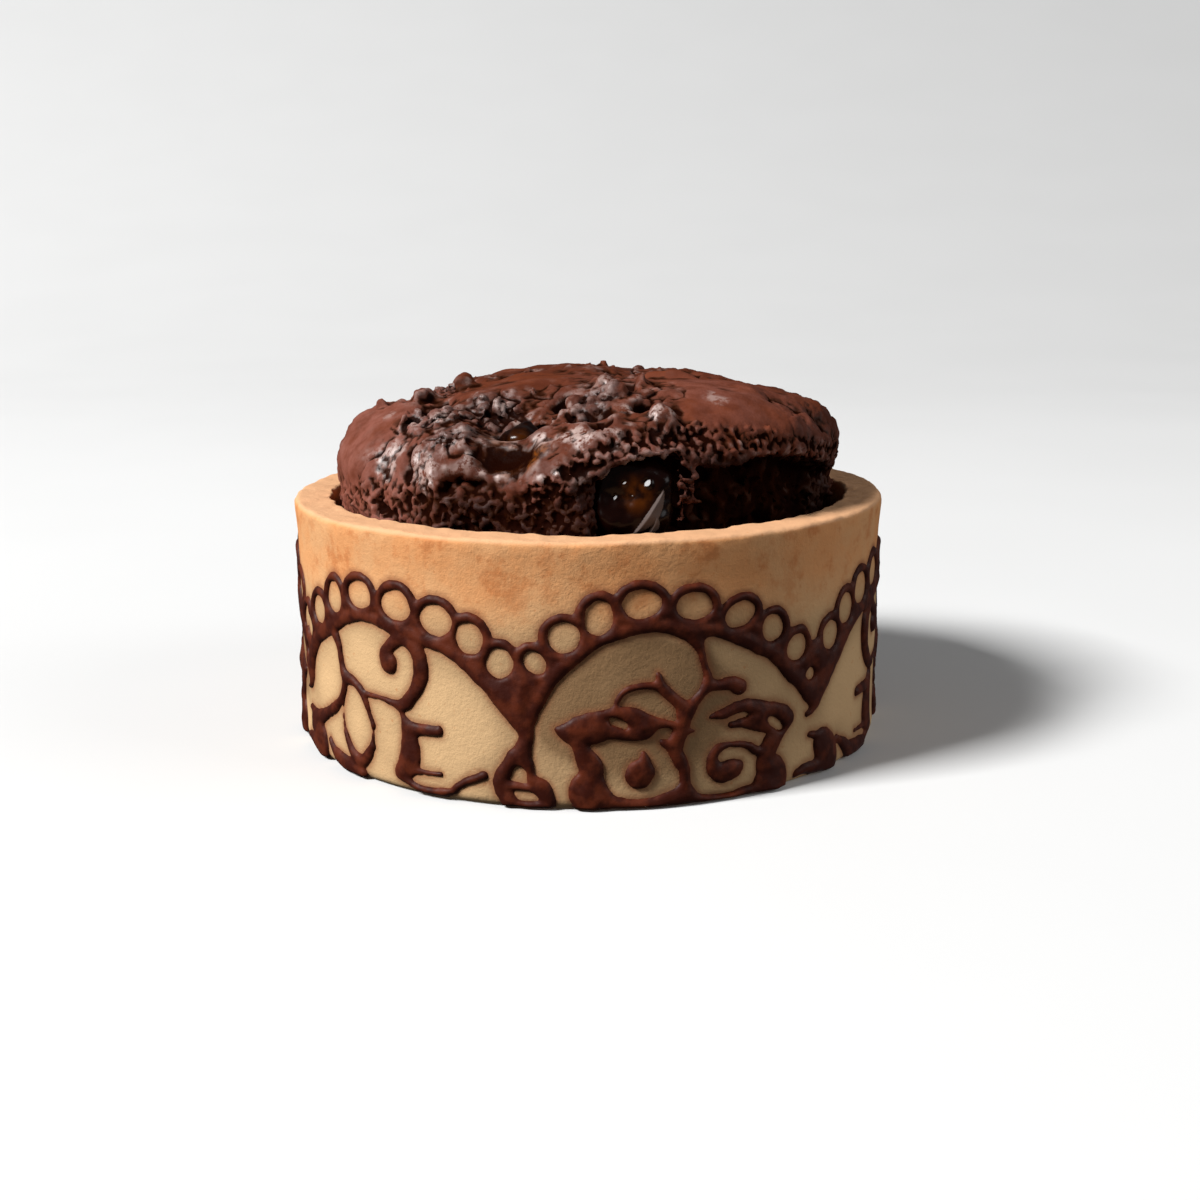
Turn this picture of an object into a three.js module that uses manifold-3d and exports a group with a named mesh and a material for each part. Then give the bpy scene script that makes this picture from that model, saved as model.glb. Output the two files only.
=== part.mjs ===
// Brownie cookie: a straight-walled cookie cup with raised cocoa lace round its wall,
// filled with a craggy domed brownie that holds two chocolate chunks.
// Millimetres, +Z up, origin at the middle of the base, -Y is the front.
import * as THREE from "three";
import { mergeVertices } from "three/addons/utils/BufferGeometryUtils.js";
import Module from "manifold-3d";

const wasm = await Module();
wasm.setup();

// Driving dimensions of the cookie cup
const CUP = { radius: 35, height: 28.7, wall: 4.1, floor: 4, lip: 0.2, lipDrop: 5 };
const CUP_ROUND = { base: 1.3, rimOuter: 1.1, rimInner: 0.8, inside: 0.7 };
const CUP_SIDES = 36;
const ARC_STEPS = 2;

// Driving dimensions of the lace, which is drawn flat and then wrapped round the wall
const LACE = { relief: 0.45, root: 0.6, lowest: 0.45, archWidth: 1.7, seamOverlap: 0.05 };
const LACE_DETAIL = { step: 3.6, tolerance: 0.16, smallest: 1, reach: 5.5, tip: 0.7 };
const LOOP = { line: 0.85, endHole: 1.05, extraHole: 0.7, height: 1.5, tallest: 1.1 };
const LOOP_SIDES = { outer: 8, hole: 6 };
const FRONT_PITCH = 55.5;
const REAR_PITCH = 64.5;
const FIRST_CUSP = -66.5;

// Driving dimensions of the brownie
const BROWNIE = { radius: 29.7, shoulder: 33, dome: 9.4, roundness: 3 };
const CRAG = { height: 0.85, span: 5.5, fineShare: 0.6, fineSpan: 2.6 };
const BROWNIE_GRID = { sides: 68, domeRings: 17, sideRings: 3, hiddenBelow: 26 };
const LEAN = { height: 2, square: 2, towards: 55 };
const TEAR = { angle: 32, spread: 40, height: 32.5, rise: 4.2, depth: 1.2 };

// Soft rises and hollows of the brownie's top: middle across and deep, reach and height
const TOP_FORMS = [
  { at: [-6.5, -19], span: 6, lift: -2.4 },
  { at: [17, 6], span: 9, lift: 0.5 },
  { at: [14, -20], span: 9, lift: 0.6 },
  { at: [-18, -18], span: 8, lift: -1.2 },
  { at: [-7, 12], span: 9, lift: 0.5 },
];

// Chocolate chunks: middle, half sizes and turn, and the gap left round each in the brownie
const CHUNK_GAP = 0.3;
const FRONT_CHUNK = { at: [5, -27.3, 31.6], half: [3.5, 2.6, 4.4], turn: 0.2 };
const TOP_CHUNK = { at: [-7, -19.8, 36.6], half: [3, 2.4, 2], turn: -0.3 };

// Points of a mesh closer than this are one point
const SAME_POINT = 1e-4;

const degrees = THREE.MathUtils.degToRad;

// Solids

function solidOf(geometry) {
  const bare = geometry.clone();
  bare.deleteAttribute("normal");
  bare.deleteAttribute("uv");
  const merged = mergeVertices(bare, SAME_POINT);
  const vertProperties = new Float32Array(merged.attributes.position.array);
  const triVerts = new Uint32Array(merged.index.array);
  return new wasm.Manifold(new wasm.Mesh({ numProp: 3, vertProperties, triVerts }));
}

function geometryOf(solid) {
  const mesh = solid.getMesh();
  const geometry = new THREE.BufferGeometry();
  geometry.setAttribute("position", new THREE.BufferAttribute(new Float32Array(mesh.vertProperties), 3));
  geometry.setIndex(new THREE.BufferAttribute(new Uint32Array(mesh.triVerts), 1));
  geometry.computeVertexNormals();
  return geometry;
}

function namedMesh(name, solid, colour, roughness) {
  const material = new THREE.MeshStandardMaterial({ color: colour, roughness, metalness: 0 });
  const mesh = new THREE.Mesh(geometryOf(solid), material);
  mesh.name = name;
  return mesh;
}

// Cookie cup

function roundedCorner(centreX, centreZ, radius, fromAngle, toAngle) {
  const corner = new THREE.Path();
  corner.absarc(centreX, centreZ, radius, degrees(fromAngle), degrees(toAngle), toAngle < fromAngle);
  return corner.getPoints(ARC_STEPS);
}

function cupProfile() {
  const lipRadius = CUP.radius + CUP.lip;
  const inner = CUP.radius - CUP.wall;
  const { base, rimOuter, rimInner, inside } = CUP_ROUND;
  return [
    new THREE.Vector2(0, 0),
    ...roundedCorner(CUP.radius - base, base, base, -90, 0),
    new THREE.Vector2(CUP.radius, CUP.height - CUP.lipDrop),
    ...roundedCorner(lipRadius - rimOuter, CUP.height - rimOuter, rimOuter, 0, 90),
    ...roundedCorner(inner + rimInner, CUP.height - rimInner, rimInner, 90, 180),
    ...roundedCorner(inner - inside, CUP.floor + inside, inside, 0, -90),
    new THREE.Vector2(0, CUP.floor),
  ];
}

// Lace strokes: each has its widths at the start, middle and end, then the points of its line.
// Points are across and up from the middle of a scallop, or from a cusp between two scallops.

const stroke = (widths, ...points) => ({ widths, points });

const BLOOM = {
  arch: [[-17.3, 9.2], [-13.9, 14.1], [-10.7, 17.5], [-6.5, 19.5], [-2.5, 19.5],
    [2.8, 18.9], [6.6, 17.6], [10.1, 15.3], [12.9, 13], [17, 8.6]],
  loops: [[-15.8, 16], [-12.9, 18.7], [-9.3, 20.9], [-4.6, 22], [0.9, 21.5], [6.4, 20.1],
    [10.6, 18.1], [14.3, 15.3]],
  strokes: [
    stroke([1.8, 1.3, 1.7], [1.1, 18.6], [1.9, 16], [2.2, 12.9], [0.5, 10.6], [-0.4, 6.8], [-0.2, 1.5]),
    stroke([1, 1.2, 1.3], [2.2, 13.5], [3.7, 12.6], [6.6, 12.1]),
    stroke([1.6, 1.4, 0.6], [0.2, 10.2], [-2, 12], [-3.1, 14.4]),
    stroke([1, 0.7, 0.5], [-2.8, 13.2], [-5, 13.1], [-7.3, 11.6]),
    stroke([1.2, 3.2, 1], [-0.6, 8.7], [-5.2, 9.6], [-10.2, 9.1], [-13.2, 8.1]),
    stroke([1.8, 1.7, 2.2], [-11.9, 8], [-11, 5.8], [-9.8, 3.9], [-10.6, 2.3], [-12.2, 2]),
    stroke([1.2, 0.8, 1], [-9.8, 2.3], [-6.4, 1], [-2.4, 1.2], [-0.4, 2.8]),
    stroke([0.8, 2.4, 3.2], [-4.9, 6.3], [-5, 4.9], [-5, 3.7]),
    stroke([1, 1.4, 1.5], [10.4, 4.6], [6.3, 6.2], [3.3, 4.7], [4.6, 2.1], [6.7, 3.2], [5.6, 4.3]),
    stroke([0.7, 2.3, 1.7], [2.7, 9.4], [7.2, 9.8], [11.4, 8.8], [13.2, 7.4]),
    stroke([1.7, 2, 1.3], [13, 7.4], [11.4, 5], [10.7, 2.4], [12.2, 1.3]),
  ],
};

const SCROLL = {
  arch: [[-17.3, 9.4], [-14.4, 13.9], [-10.2, 16.2], [-6, 18.4], [-2.4, 18.9], [2, 18.3],
    [8.2, 16.9], [11.4, 14.9], [14.5, 12], [17.3, 8.2]],
  loops: [[-16.9, 15], [-13.6, 17.6], [-9.4, 19.9], [-4.3, 21.1], [1.4, 20.8], [6.7, 19.7],
    [11, 18.1], [14.4, 15.6]],
  strokes: [
    stroke([2.2, 1.6, 0.7], [3.4, 17.5], [5.2, 14.4], [4.4, 11.9], [1.9, 9.5], [-1, 9.9]),
    stroke([1.7, 1.2, 1.9], [2.4, 17.6], [0.4, 15.8], [-0.3, 14.2], [0.6, 13.9]),
    stroke([1.5, 1.1, 0.5], [-9.2, 15.9], [-7.6, 11.1], [-4.2, 9.5], [-2.6, 6.7]),
    stroke([1, 1, 1.6], [-7.7, 10.8], [-9, 7.9], [-12.9, 5.5], [-16.2, 4.1]),
    stroke([0.5, 1.7, 0.6], [-8.4, 7.2], [-7.6, 3.6], [-5.4, 1.9], [-3.1, 3.9]),
    stroke([1, 1.5, 2], [1.4, 9], [2.9, 6.4], [2.5, 4.1], [1.4, 2.3]),
    stroke([1.4, 1.1, 1.3], [2.9, 6.5], [4.9, 7.4], [7, 7.5]),
    stroke([0.6, 1, 1.3], [6.4, 1], [9.4, 2], [12.1, 3.2]),
    stroke([1.9, 1.5, 1], [-16.4, 3.3], [-14.9, 2.6], [-14.4, 1.3]),
  ],
};

const KNOT = [
  stroke([3.6, 2.6, 2], [0, 14.6], [-0.2, 11.4], [-0.7, 6.6], [-1.6, 4.4]),
  stroke([1.5, 1.4, 1.3], [-1.4, 4.8], [-3, 3.2], [-2.2, 1.5]),
  stroke([1.3, 1.4, 1.3], [-1.2, 4.8], [0.9, 3.3], [2.4, 1.4]),
];

const TASSEL = [
  stroke([3.2, 2.6, 0.9], [0, 14], [0, 10.5], [0, 7.3]),
  stroke([2.1, 3.4, 1.6], [-0.4, 4.2], [1.9, 3.2], [4.4, 1.7]),
];

// Scallops in order from the front left, going round to the right, each with the cusp at its left
const SCALLOPS = [
  { pitch: FRONT_PITCH, motif: SCROLL, mirror: 1, cusp: TASSEL },
  { pitch: FRONT_PITCH, motif: BLOOM, mirror: 1, cusp: KNOT },
  { pitch: FRONT_PITCH, motif: SCROLL, mirror: -1, cusp: TASSEL },
  { pitch: REAR_PITCH, motif: BLOOM, mirror: 1, cusp: KNOT },
  { pitch: REAR_PITCH, motif: SCROLL, mirror: 1, cusp: TASSEL },
  { pitch: REAR_PITCH, motif: BLOOM, mirror: -1, cusp: KNOT },
];

// The width at a share t of a stroke, on a parabola through its three widths
function widthAlong([start, middle, end], t) {
  const rest = 1 - t;
  return start * rest * (rest - t) + 4 * middle * rest * t + end * t * (t - rest);
}

// The outline of one stroke: a ribbon with pointed ends along a smooth line
function ribbonShape({ widths, points }, place) {
  const line = new THREE.SplineCurve(points.map(place));
  const count = Math.max(2, Math.round(line.getLength() / LACE_DETAIL.step));
  const left = [];
  const right = [];
  for (let i = 0; i <= count; i += 1) {
    const at = line.getPointAt(i / count);
    const along = line.getTangentAt(i / count);
    const half = widthAlong(widths, i / count) / 2;
    if (i === 0) left.push(at.clone().addScaledVector(along, -LACE_DETAIL.tip * half));
    left.push(new THREE.Vector2(at.x - along.y * half, at.y + along.x * half));
    right.unshift(new THREE.Vector2(at.x + along.y * half, at.y - along.x * half));
    if (i === count) left.push(at.clone().addScaledVector(along, LACE_DETAIL.tip * half));
  }
  return new THREE.Shape([...left, ...right]);
}

function ellipsePoints(centre, halfWidth, halfHeight, turn, sides) {
  const { x, y } = centre;
  const ellipse = new THREE.EllipseCurve(x, y, halfWidth, halfHeight, 0, 2 * Math.PI, false, turn);
  return ellipse.getPoints(sides).slice(0, sides);
}

// A row of rings along the outer edge of a scallop, larger towards its middle
function loopShapes(loops, place) {
  const centres = loops.map(place);
  return centres.map((centre, i) => {
    const before = centres[Math.max(0, i - 1)];
    const after = centres[Math.min(centres.length - 1, i + 1)];
    const turn = Math.atan2(after.y - before.y, after.x - before.x);
    const hole = LOOP.endHole + LOOP.extraHole * Math.sin((Math.PI * (i + 0.5)) / loops.length);
    const height = Math.min(LOOP.height, hole * LOOP.tallest);
    const ring = new THREE.Shape(
      ellipsePoints(centre, hole + LOOP.line, height + LOOP.line, turn, LOOP_SIDES.outer),
    );
    ring.holes.push(new THREE.Path(ellipsePoints(centre, hole, height, turn, LOOP_SIDES.hole)));
    return ring;
  });
}

function flatSolid(shape) {
  return solidOf(new THREE.ExtrudeGeometry(shape, { depth: LACE.relief + LACE.root, bevelEnabled: false }));
}

// The whole lace as one flat strip, from the first cusp round to the same cusp again
function flatLace() {
  const shapes = [];
  let cuspAngle = 0;
  const addCusp = (cusp) => {
    const cuspX = CUP.radius * degrees(cuspAngle);
    shapes.push(...cusp.map((line) => ribbonShape(line, ([x, z]) => new THREE.Vector2(cuspX + x, z))));
  };
  for (const { pitch, motif, mirror, cusp } of SCALLOPS) {
    const stretch = (pitch / FRONT_PITCH) * mirror;
    const middle = CUP.radius * degrees(cuspAngle + pitch / 2);
    const inScallop = ([x, z]) => new THREE.Vector2(middle + x * stretch, z);
    const arch = stroke([LACE.archWidth, LACE.archWidth, LACE.archWidth], ...motif.arch);
    shapes.push(...[arch, ...motif.strokes].map((line) => ribbonShape(line, inScallop)));
    shapes.push(...loopShapes(motif.loops, inScallop));
    addCusp(cusp);
    cuspAngle += pitch;
  }
  addCusp(SCALLOPS[0].cusp);
  const drawn = shapes.map(flatSolid).reduce((all, one) => all.add(one));
  const length = 2 * Math.PI * CUP.radius;
  const strip = new THREE.BoxGeometry(length + 2 * LACE.seamOverlap, CUP.height, CUP.wall);
  strip.translate(length / 2, CUP.height / 2 + LACE.lowest, 0);
  return drawn.intersect(solidOf(strip));
}

// The closed outlines of a flat solid's top face, as loops of points
function topOutlines(solid) {
  const { vertProperties, triVerts } = solid.getMesh();
  const vertexCount = vertProperties.length / 3;
  const topLevel = LACE.relief + LACE.root - LACE_DETAIL.tolerance;
  const edges = new Map();
  for (let i = 0; i < triVerts.length; i += 3) {
    const corners = [...triVerts.subarray(i, i + 3)];
    if (corners.some((v) => vertProperties[3 * v + 2] < topLevel)) continue;
    corners.forEach((from, corner) => {
      const to = corners[(corner + 1) % 3];
      const shared = edges.delete(to * vertexCount + from);
      if (!shared) edges.set(from * vertexCount + to, [from, to]);
    });
  }
  const next = new Map(edges.values());
  const loops = [];
  while (next.size > 0) {
    const loop = [];
    let [at] = next.keys();
    while (next.has(at)) {
      loop.push(new THREE.Vector2(vertProperties[3 * at], vertProperties[3 * at + 1]));
      const to = next.get(at);
      next.delete(at);
      at = to;
    }
    loops.push(loop);
  }
  return loops;
}

// Leaves out the points of an outline that lie almost on the line between their neighbours
function thinned(loop) {
  const kept = [];
  loop.forEach((point, i) => {
    const before = kept.length > 0 ? kept[kept.length - 1] : loop[loop.length - 1];
    const chord = loop[(i + 1) % loop.length].clone().sub(before);
    const offset = Math.abs(chord.cross(point.clone().sub(before))) / chord.length();
    if (offset > LACE_DETAIL.tolerance) kept.push(point);
  });
  return kept;
}

// The lace strip as flat outlines with their holes, without specks
function laceShapes(solid) {
  const outlines = topOutlines(solid).map(thinned);
  const large = outlines.filter((loop) => Math.abs(THREE.ShapeUtils.area(loop)) > LACE_DETAIL.smallest);
  const paths = new THREE.ShapePath();
  paths.subPaths = large.map((loop) => new THREE.Path(loop));
  return paths.toShapes(true);
}

// Splits each edge that runs far round the cup, so that bent triangles stay close to its wall
function splitLongEdges(points, triangles) {
  const middles = new Map();
  const middleOf = (a, b) => {
    if (Math.abs(points[a].x - points[b].x) <= LACE_DETAIL.reach) return [];
    const key = Math.min(a, b) + "," + Math.max(a, b);
    if (!middles.has(key)) {
      middles.set(key, points.length);
      points.push(points[a].clone().lerp(points[b], 0.5));
    }
    return [middles.get(key)];
  };
  return triangles.flatMap((corners) => {
    const outline = corners.flatMap((from, i) => {
      const to = corners[(i + 1) % 3];
      return [...middleOf(from, to), to];
    });
    const start = Math.max(0, outline.findIndex((v) => !corners.includes(v)));
    const fan = [...outline.slice(start), ...outline.slice(0, start)];
    return fan.slice(1, -1).map((v, i) => [fan[0], v, fan[i + 2]]);
  });
}

// One flat stretch of lace as a solid bent round the cup's wall
function bentLace(shape) {
  const { vertProperties, triVerts } = flatSolid(shape).getMesh();
  const points = [];
  for (let i = 0; i < vertProperties.length; i += 3) {
    points.push(new THREE.Vector3(...vertProperties.subarray(i, i + 3)));
  }
  let triangles = [];
  for (let i = 0; i < triVerts.length; i += 3) triangles.push([...triVerts.subarray(i, i + 3)]);
  for (let last = 0; last < points.length;) {
    last = points.length;
    triangles = splitLongEdges(points, triangles);
  }
  const bent = points.map(({ x, y, z }) => {
    const angle = degrees(FIRST_CUSP) + x / CUP.radius;
    const radius = CUP.radius - LACE.root + z;
    return new THREE.Vector3(radius * Math.sin(angle), -radius * Math.cos(angle), y);
  });
  const geometry = new THREE.BufferGeometry().setFromPoints(bent);
  geometry.setIndex(triangles.flat());
  return solidOf(geometry);
}

function cookieShell() {
  const cup = new THREE.LatheGeometry(cupProfile(), CUP_SIDES).rotateX(Math.PI / 2);
  const lace = laceShapes(flatLace()).map(bentLace);
  return lace.reduce((shell, piece) => shell.add(piece), solidOf(cup));
}

// Brownie

// A fixed value from -1 to 1 for each point of a whole-number lattice
function latticeValue(x, y, z) {
  const wave = Math.sin(x * 127.1 + y * 311.7 + z * 74.7) * 43758.5453;
  return 2 * (wave - Math.floor(wave)) - 1;
}

// Smooth noise from -1 to 1, the same on every run
function smoothNoise(point) {
  const cell = point.clone().floor();
  const part = point.clone().sub(cell);
  const ease = (t) => t * t * (3 - 2 * t);
  const share = (t, far) => (far ? ease(t) : 1 - ease(t));
  let sum = 0;
  for (const dx of [0, 1]) {
    for (const dy of [0, 1]) {
      for (const dz of [0, 1]) {
        const weight = share(part.x, dx) * share(part.y, dy) * share(part.z, dz);
        sum += weight * latticeValue(cell.x + dx, cell.y + dy, cell.z + dz);
      }
    }
  }
  return sum;
}

// How much a soft rise or hollow lifts the top at a point
function liftAt(x, y) {
  const lifts = TOP_FORMS.map(({ at, span, lift }) => {
    const distance = Math.hypot(x - at[0], y - at[1]) / span;
    return lift * Math.exp(-distance * distance);
  });
  return lifts.reduce((sum, one) => sum + one, 0);
}

// How far the torn front side stands back under the crust at a height and an angle from the front
function tearAt(angle, z) {
  const across = (angle - TEAR.angle) / TEAR.spread;
  const up = (z - TEAR.height) / TEAR.rise;
  return TEAR.depth * Math.exp(-(across ** 4) - up ** 4);
}

// A point of the crust: ring 0 is the middle of the top and ring 1 the shoulder
function domePoint(angle, ring) {
  const lean = Math.cos(degrees(angle - LEAN.towards));
  const shoulder = BROWNIE.shoulder + LEAN.height * lean;
  const dome = BROWNIE.shoulder + BROWNIE.dome - shoulder;
  const spread = 1 - (1 - ring) ** 2;
  const rise = Math.sqrt(1 - spread ** (BROWNIE.roundness + LEAN.square * Math.max(0, lean)));
  const x = BROWNIE.radius * spread * Math.sin(degrees(angle));
  const y = -BROWNIE.radius * spread * Math.cos(degrees(angle));
  return new THREE.Vector3(x, y, shoulder + dome * rise + liftAt(x, y) * Math.sqrt(rise));
}

// Moves a point of the crust out or in by the crags, and in by the tear
function craggy(point, angle) {
  const outward = point.clone().sub(new THREE.Vector3(0, 0, BROWNIE.shoulder - BROWNIE.dome)).normalize();
  const coarse = smoothNoise(point.clone().divideScalar(CRAG.span));
  const fine = smoothNoise(point.clone().divideScalar(CRAG.fineSpan));
  const crag = CRAG.height * (coarse + CRAG.fineShare * fine);
  return point.clone().addScaledVector(outward, crag - tearAt(angle, point.z));
}

// Rings of points from the top down the shoulder and the side to the floor of the cup
function brownieRings() {
  const { sides, domeRings, sideRings, hiddenBelow } = BROWNIE_GRID;
  const angles = Array.from({ length: sides }, (_, i) => (360 * i) / sides - 180);
  const rings = [];
  for (let i = 1; i <= domeRings; i += 1) {
    rings.push(angles.map((angle) => craggy(domePoint(angle, i / domeRings), angle)));
  }
  for (let i = 1; i <= sideRings; i += 1) {
    const down = i / sideRings;
    rings.push(angles.map((angle) => {
      const edge = domePoint(angle, 1);
      edge.z += down * (hiddenBelow - edge.z);
      return craggy(edge, angle).lerp(edge, down);
    }));
  }
  rings.push(rings[rings.length - 1].map((edge) => new THREE.Vector3(edge.x, edge.y, CUP.floor)));
  return rings;
}

// Closes rings of points, from a top middle point down to a bottom middle point, into one skin
function ringSkin(rings, top, bottom) {
  const sides = rings[0].length;
  const points = [top, ...rings.flat(), bottom];
  const last = points.length - 1;
  const index = [];
  for (let s = 0; s < sides; s += 1) {
    const t = (s + 1) % sides;
    index.push(0, 1 + s, 1 + t);
    for (let r = 0; r + 1 < rings.length; r += 1) {
      const upper = 1 + r * sides;
      const lower = upper + sides;
      index.push(upper + s, lower + s, lower + t, upper + s, lower + t, upper + t);
    }
    index.push(last, last - sides + t, last - sides + s);
  }
  const geometry = new THREE.BufferGeometry().setFromPoints(points);
  geometry.setIndex(index);
  return geometry;
}

function chunkSolid({ at, half, turn }, gap) {
  const geometry = new THREE.IcosahedronGeometry(1, 2);
  geometry.scale(half[0] + gap, half[1] + gap, half[2] + gap);
  geometry.rotateY(turn).translate(...at);
  return solidOf(geometry);
}

function brownieSolid() {
  const rings = brownieRings();
  const top = craggy(domePoint(0, 0), 0);
  const whole = solidOf(ringSkin(rings, top, new THREE.Vector3(0, 0, CUP.floor)));
  const pockets = [FRONT_CHUNK, TOP_CHUNK].map((chunk) => chunkSolid(chunk, CHUNK_GAP));
  return pockets.reduce((left, pocket) => left.subtract(pocket), whole);
}

const brownieCookie = new THREE.Group();
brownieCookie.add(
  namedMesh("cookie_shell", cookieShell(), 0xd9ab6e, 0.8),
  namedMesh("brownie", brownieSolid(), 0x3b1d14, 0.65),
  namedMesh("chocolate_chunk_front", chunkSolid(FRONT_CHUNK, 0), 0x2a120b, 0.25),
  namedMesh("chocolate_chunk_top", chunkSolid(TOP_CHUNK, 0), 0x2a120b, 0.25),
);

export default brownieCookie;
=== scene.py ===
"""Brownie cookie: a cookie cup with raised cocoa lace round its wall, filled with a craggy brownie.

Sizes in the classes are millimetres in the part's own frame: +Z is up, the origin is the middle of
the base and -Y is the front. Angles are degrees from the front, growing towards the right.
"""

import logging
import math
import random
from collections.abc import Callable
from dataclasses import dataclass, field
from enum import Enum

import bmesh
import bpy
import numpy as np
from mathutils import Matrix, Vector, noise

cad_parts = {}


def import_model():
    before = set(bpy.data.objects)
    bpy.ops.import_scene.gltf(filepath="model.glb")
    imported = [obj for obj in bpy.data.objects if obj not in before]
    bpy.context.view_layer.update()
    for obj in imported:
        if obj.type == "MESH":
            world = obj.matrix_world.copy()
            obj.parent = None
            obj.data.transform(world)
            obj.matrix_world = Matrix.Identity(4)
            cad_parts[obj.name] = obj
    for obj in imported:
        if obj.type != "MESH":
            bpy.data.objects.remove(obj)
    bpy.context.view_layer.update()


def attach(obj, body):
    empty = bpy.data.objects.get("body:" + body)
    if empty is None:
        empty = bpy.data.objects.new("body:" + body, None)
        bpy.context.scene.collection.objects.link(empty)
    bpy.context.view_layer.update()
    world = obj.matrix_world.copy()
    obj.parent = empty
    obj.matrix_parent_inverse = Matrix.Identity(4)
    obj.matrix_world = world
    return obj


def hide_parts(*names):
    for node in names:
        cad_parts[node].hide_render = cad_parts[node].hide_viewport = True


LOG = logging.getLogger("brownie_cookie")
MM = 0.001
BODY = "root"

Point = tuple[float, float]
Place = tuple[float, float, float]
Colour = tuple[float, float, float, float]
Sector = tuple[float, float, float, float]
Test = Callable[[bmesh.types.BMEdge | bmesh.types.BMFace], bool]


class Slot(Enum):
    """The record's material slots."""

    DOUGH = "cookie_dough"
    CRUMB = "brownie_crumb"
    CHOCOLATE = "dark_chocolate"
    LACE = "cocoa_lace"


class Layer(Enum):
    """Values that a mesh carries at its points for its finish."""

    STAIN = "lace_stain"
    CRUST = "crust"
    WET = "wet"
    # Carries both a faint cocoa spread where lace lines crowd and painted shade low inside the bloom
    # scallops.
    SPREAD = "cocoa_spread_and_shade"
    EVEN = "even"
    # Pale dust, and painted light on the left side and on strands and crests.
    DUSTY = "dusty_and_lit"
    # Pale sugar film that is also painted highlights on lumps and crests.
    FILM = "sugar_film"
    # The grey of a broken face, partly a painted reflection.
    BROKEN = "broken_face"
    # Painted light: an amber glow about one point of each chunk.
    AMBER = "amber"
    # Painted shade: darkening in creases, deep hollows, the low front crumb and the cave under the ledge.
    HOLLOW = "hollow"


# Small tools for meshes


def take_up(piece: bpy.types.Object) -> None:
    """Selects one object alone and makes it active."""
    bpy.ops.object.select_all(action="DESELECT")
    piece.select_set(True)
    bpy.context.view_layer.objects.active = piece


def points_of(piece: bpy.types.Object) -> np.ndarray:
    """Returns a mesh's points in millimetres, one row each."""
    flat = np.empty(3 * len(piece.data.vertices), np.float32)
    piece.data.vertices.foreach_get("co", flat)
    return flat.reshape(-1, 3).astype(float) / MM


def normals_of(piece: bpy.types.Object) -> np.ndarray:
    """Returns a mesh's outward directions at its points, one row each."""
    flat = np.empty(3 * len(piece.data.vertices), np.float32)
    piece.data.vertices.foreach_get("normal", flat)
    return flat.reshape(-1, 3).astype(float)


def move_points(piece: bpy.types.Object, points: np.ndarray) -> None:
    """Puts a mesh's points at new places given in millimetres."""
    piece.data.vertices.foreach_set("co", (points * MM).astype(np.float32).ravel())
    piece.data.update()


def put_layer(piece: bpy.types.Object, layer: Layer, values: np.ndarray) -> None:
    """Stores one value from 0 to 1 at each point of a mesh."""
    attribute = piece.data.attributes.new(layer.value, "FLOAT", "POINT")
    attribute.data.foreach_set("value", np.clip(values, 0, 1).astype(np.float32))


def finish_with(piece: bpy.types.Object, kind: str, **settings: object) -> None:
    """Adds one modifier to a piece and applies it.

    Args:
        piece: the mesh object to change.
        kind: the modifier's type name.
        **settings: values of the modifier's own settings.
    """
    take_up(piece)
    modifier = piece.modifiers.new(kind.lower(), kind)
    for name, value in settings.items():
        setattr(modifier, name, value)
    bpy.ops.object.modifier_apply(modifier=modifier.name)


def pick(piece: bpy.types.Object, kind: str, wanted: Test) -> None:
    """Selects the edges or faces in edit mode whose points all answer a test.

    Args:
        piece: the object in edit mode.
        kind: "EDGE" or "FACE".
        wanted: the test for one edge or face.
    """
    bpy.ops.mesh.select_mode(type=kind)
    bpy.ops.mesh.select_all(action="DESELECT")
    mesh = bmesh.from_edit_mesh(piece.data)
    parts = mesh.edges if kind == "EDGE" else mesh.faces
    for part in parts:
        if wanted(part):
            part.select_set(True)
    mesh.select_flush_mode()
    bmesh.update_edit_mesh(piece.data)


def settle(piece: bpy.types.Object, name: str) -> bpy.types.Object:
    """Names a finished piece, puts its place into its mesh and shades it smooth.

    Args:
        piece: the finished mesh object.
        name: its name in the scene.

    Returns:
        The same object.
    """
    take_up(piece)
    bpy.ops.object.transform_apply(location=True, rotation=True, scale=True)
    bpy.ops.object.shade_smooth()
    piece.name = name
    piece.data.name = name
    return piece


def dress(piece: bpy.types.Object, material: bpy.types.Material) -> None:
    """Gives a piece its material and lets it ride on the part's body."""
    piece.data.materials.clear()
    piece.data.materials.append(material)
    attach(piece, BODY)
    LOG.info("%s: %d points, %d faces", piece.name, len(piece.data.vertices), len(piece.data.polygons))


# Forms


def soft_noise(points: np.ndarray, span: float, start: float = 0.0) -> np.ndarray:
    """Returns smooth noise from about -1 to 1.

    Args:
        points: places in millimetres, one row each.
        span: about how wide one form is, in millimetres.
        start: moves the whole pattern.

    Returns:
        One value for each place.
    """
    return np.array([noise.noise(Vector(row)) for row in points / span + start])


def pebbles(points: np.ndarray, span: float, start: float = 0.0) -> np.ndarray:
    """Returns packed rounded lumps: 1 on top of a lump and 0 in the crease between two.

    Args:
        points: places in millimetres, one row each.
        span: about how wide one lump is, in millimetres.
        start: moves the whole pattern.

    Returns:
        One value for each place.
    """
    nearest = np.array([noise.voronoi(Vector(row))[0][:2] for row in points / span + start])
    return np.sqrt(np.clip((nearest[:, 1] - nearest[:, 0]) / 0.6, 0, 1))


def ease(low: float, high: float, values: np.ndarray) -> np.ndarray:
    """Returns 0 below low and 1 above high, with a smooth step between."""
    share = np.clip((values - low) / (high - low), 0, 1)
    return share * share * (3 - 2 * share)


def from_axis(points: np.ndarray) -> np.ndarray:
    """Returns each place's distance from the part's upright axis."""
    return np.hypot(points[:, 0], points[:, 1])


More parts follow.
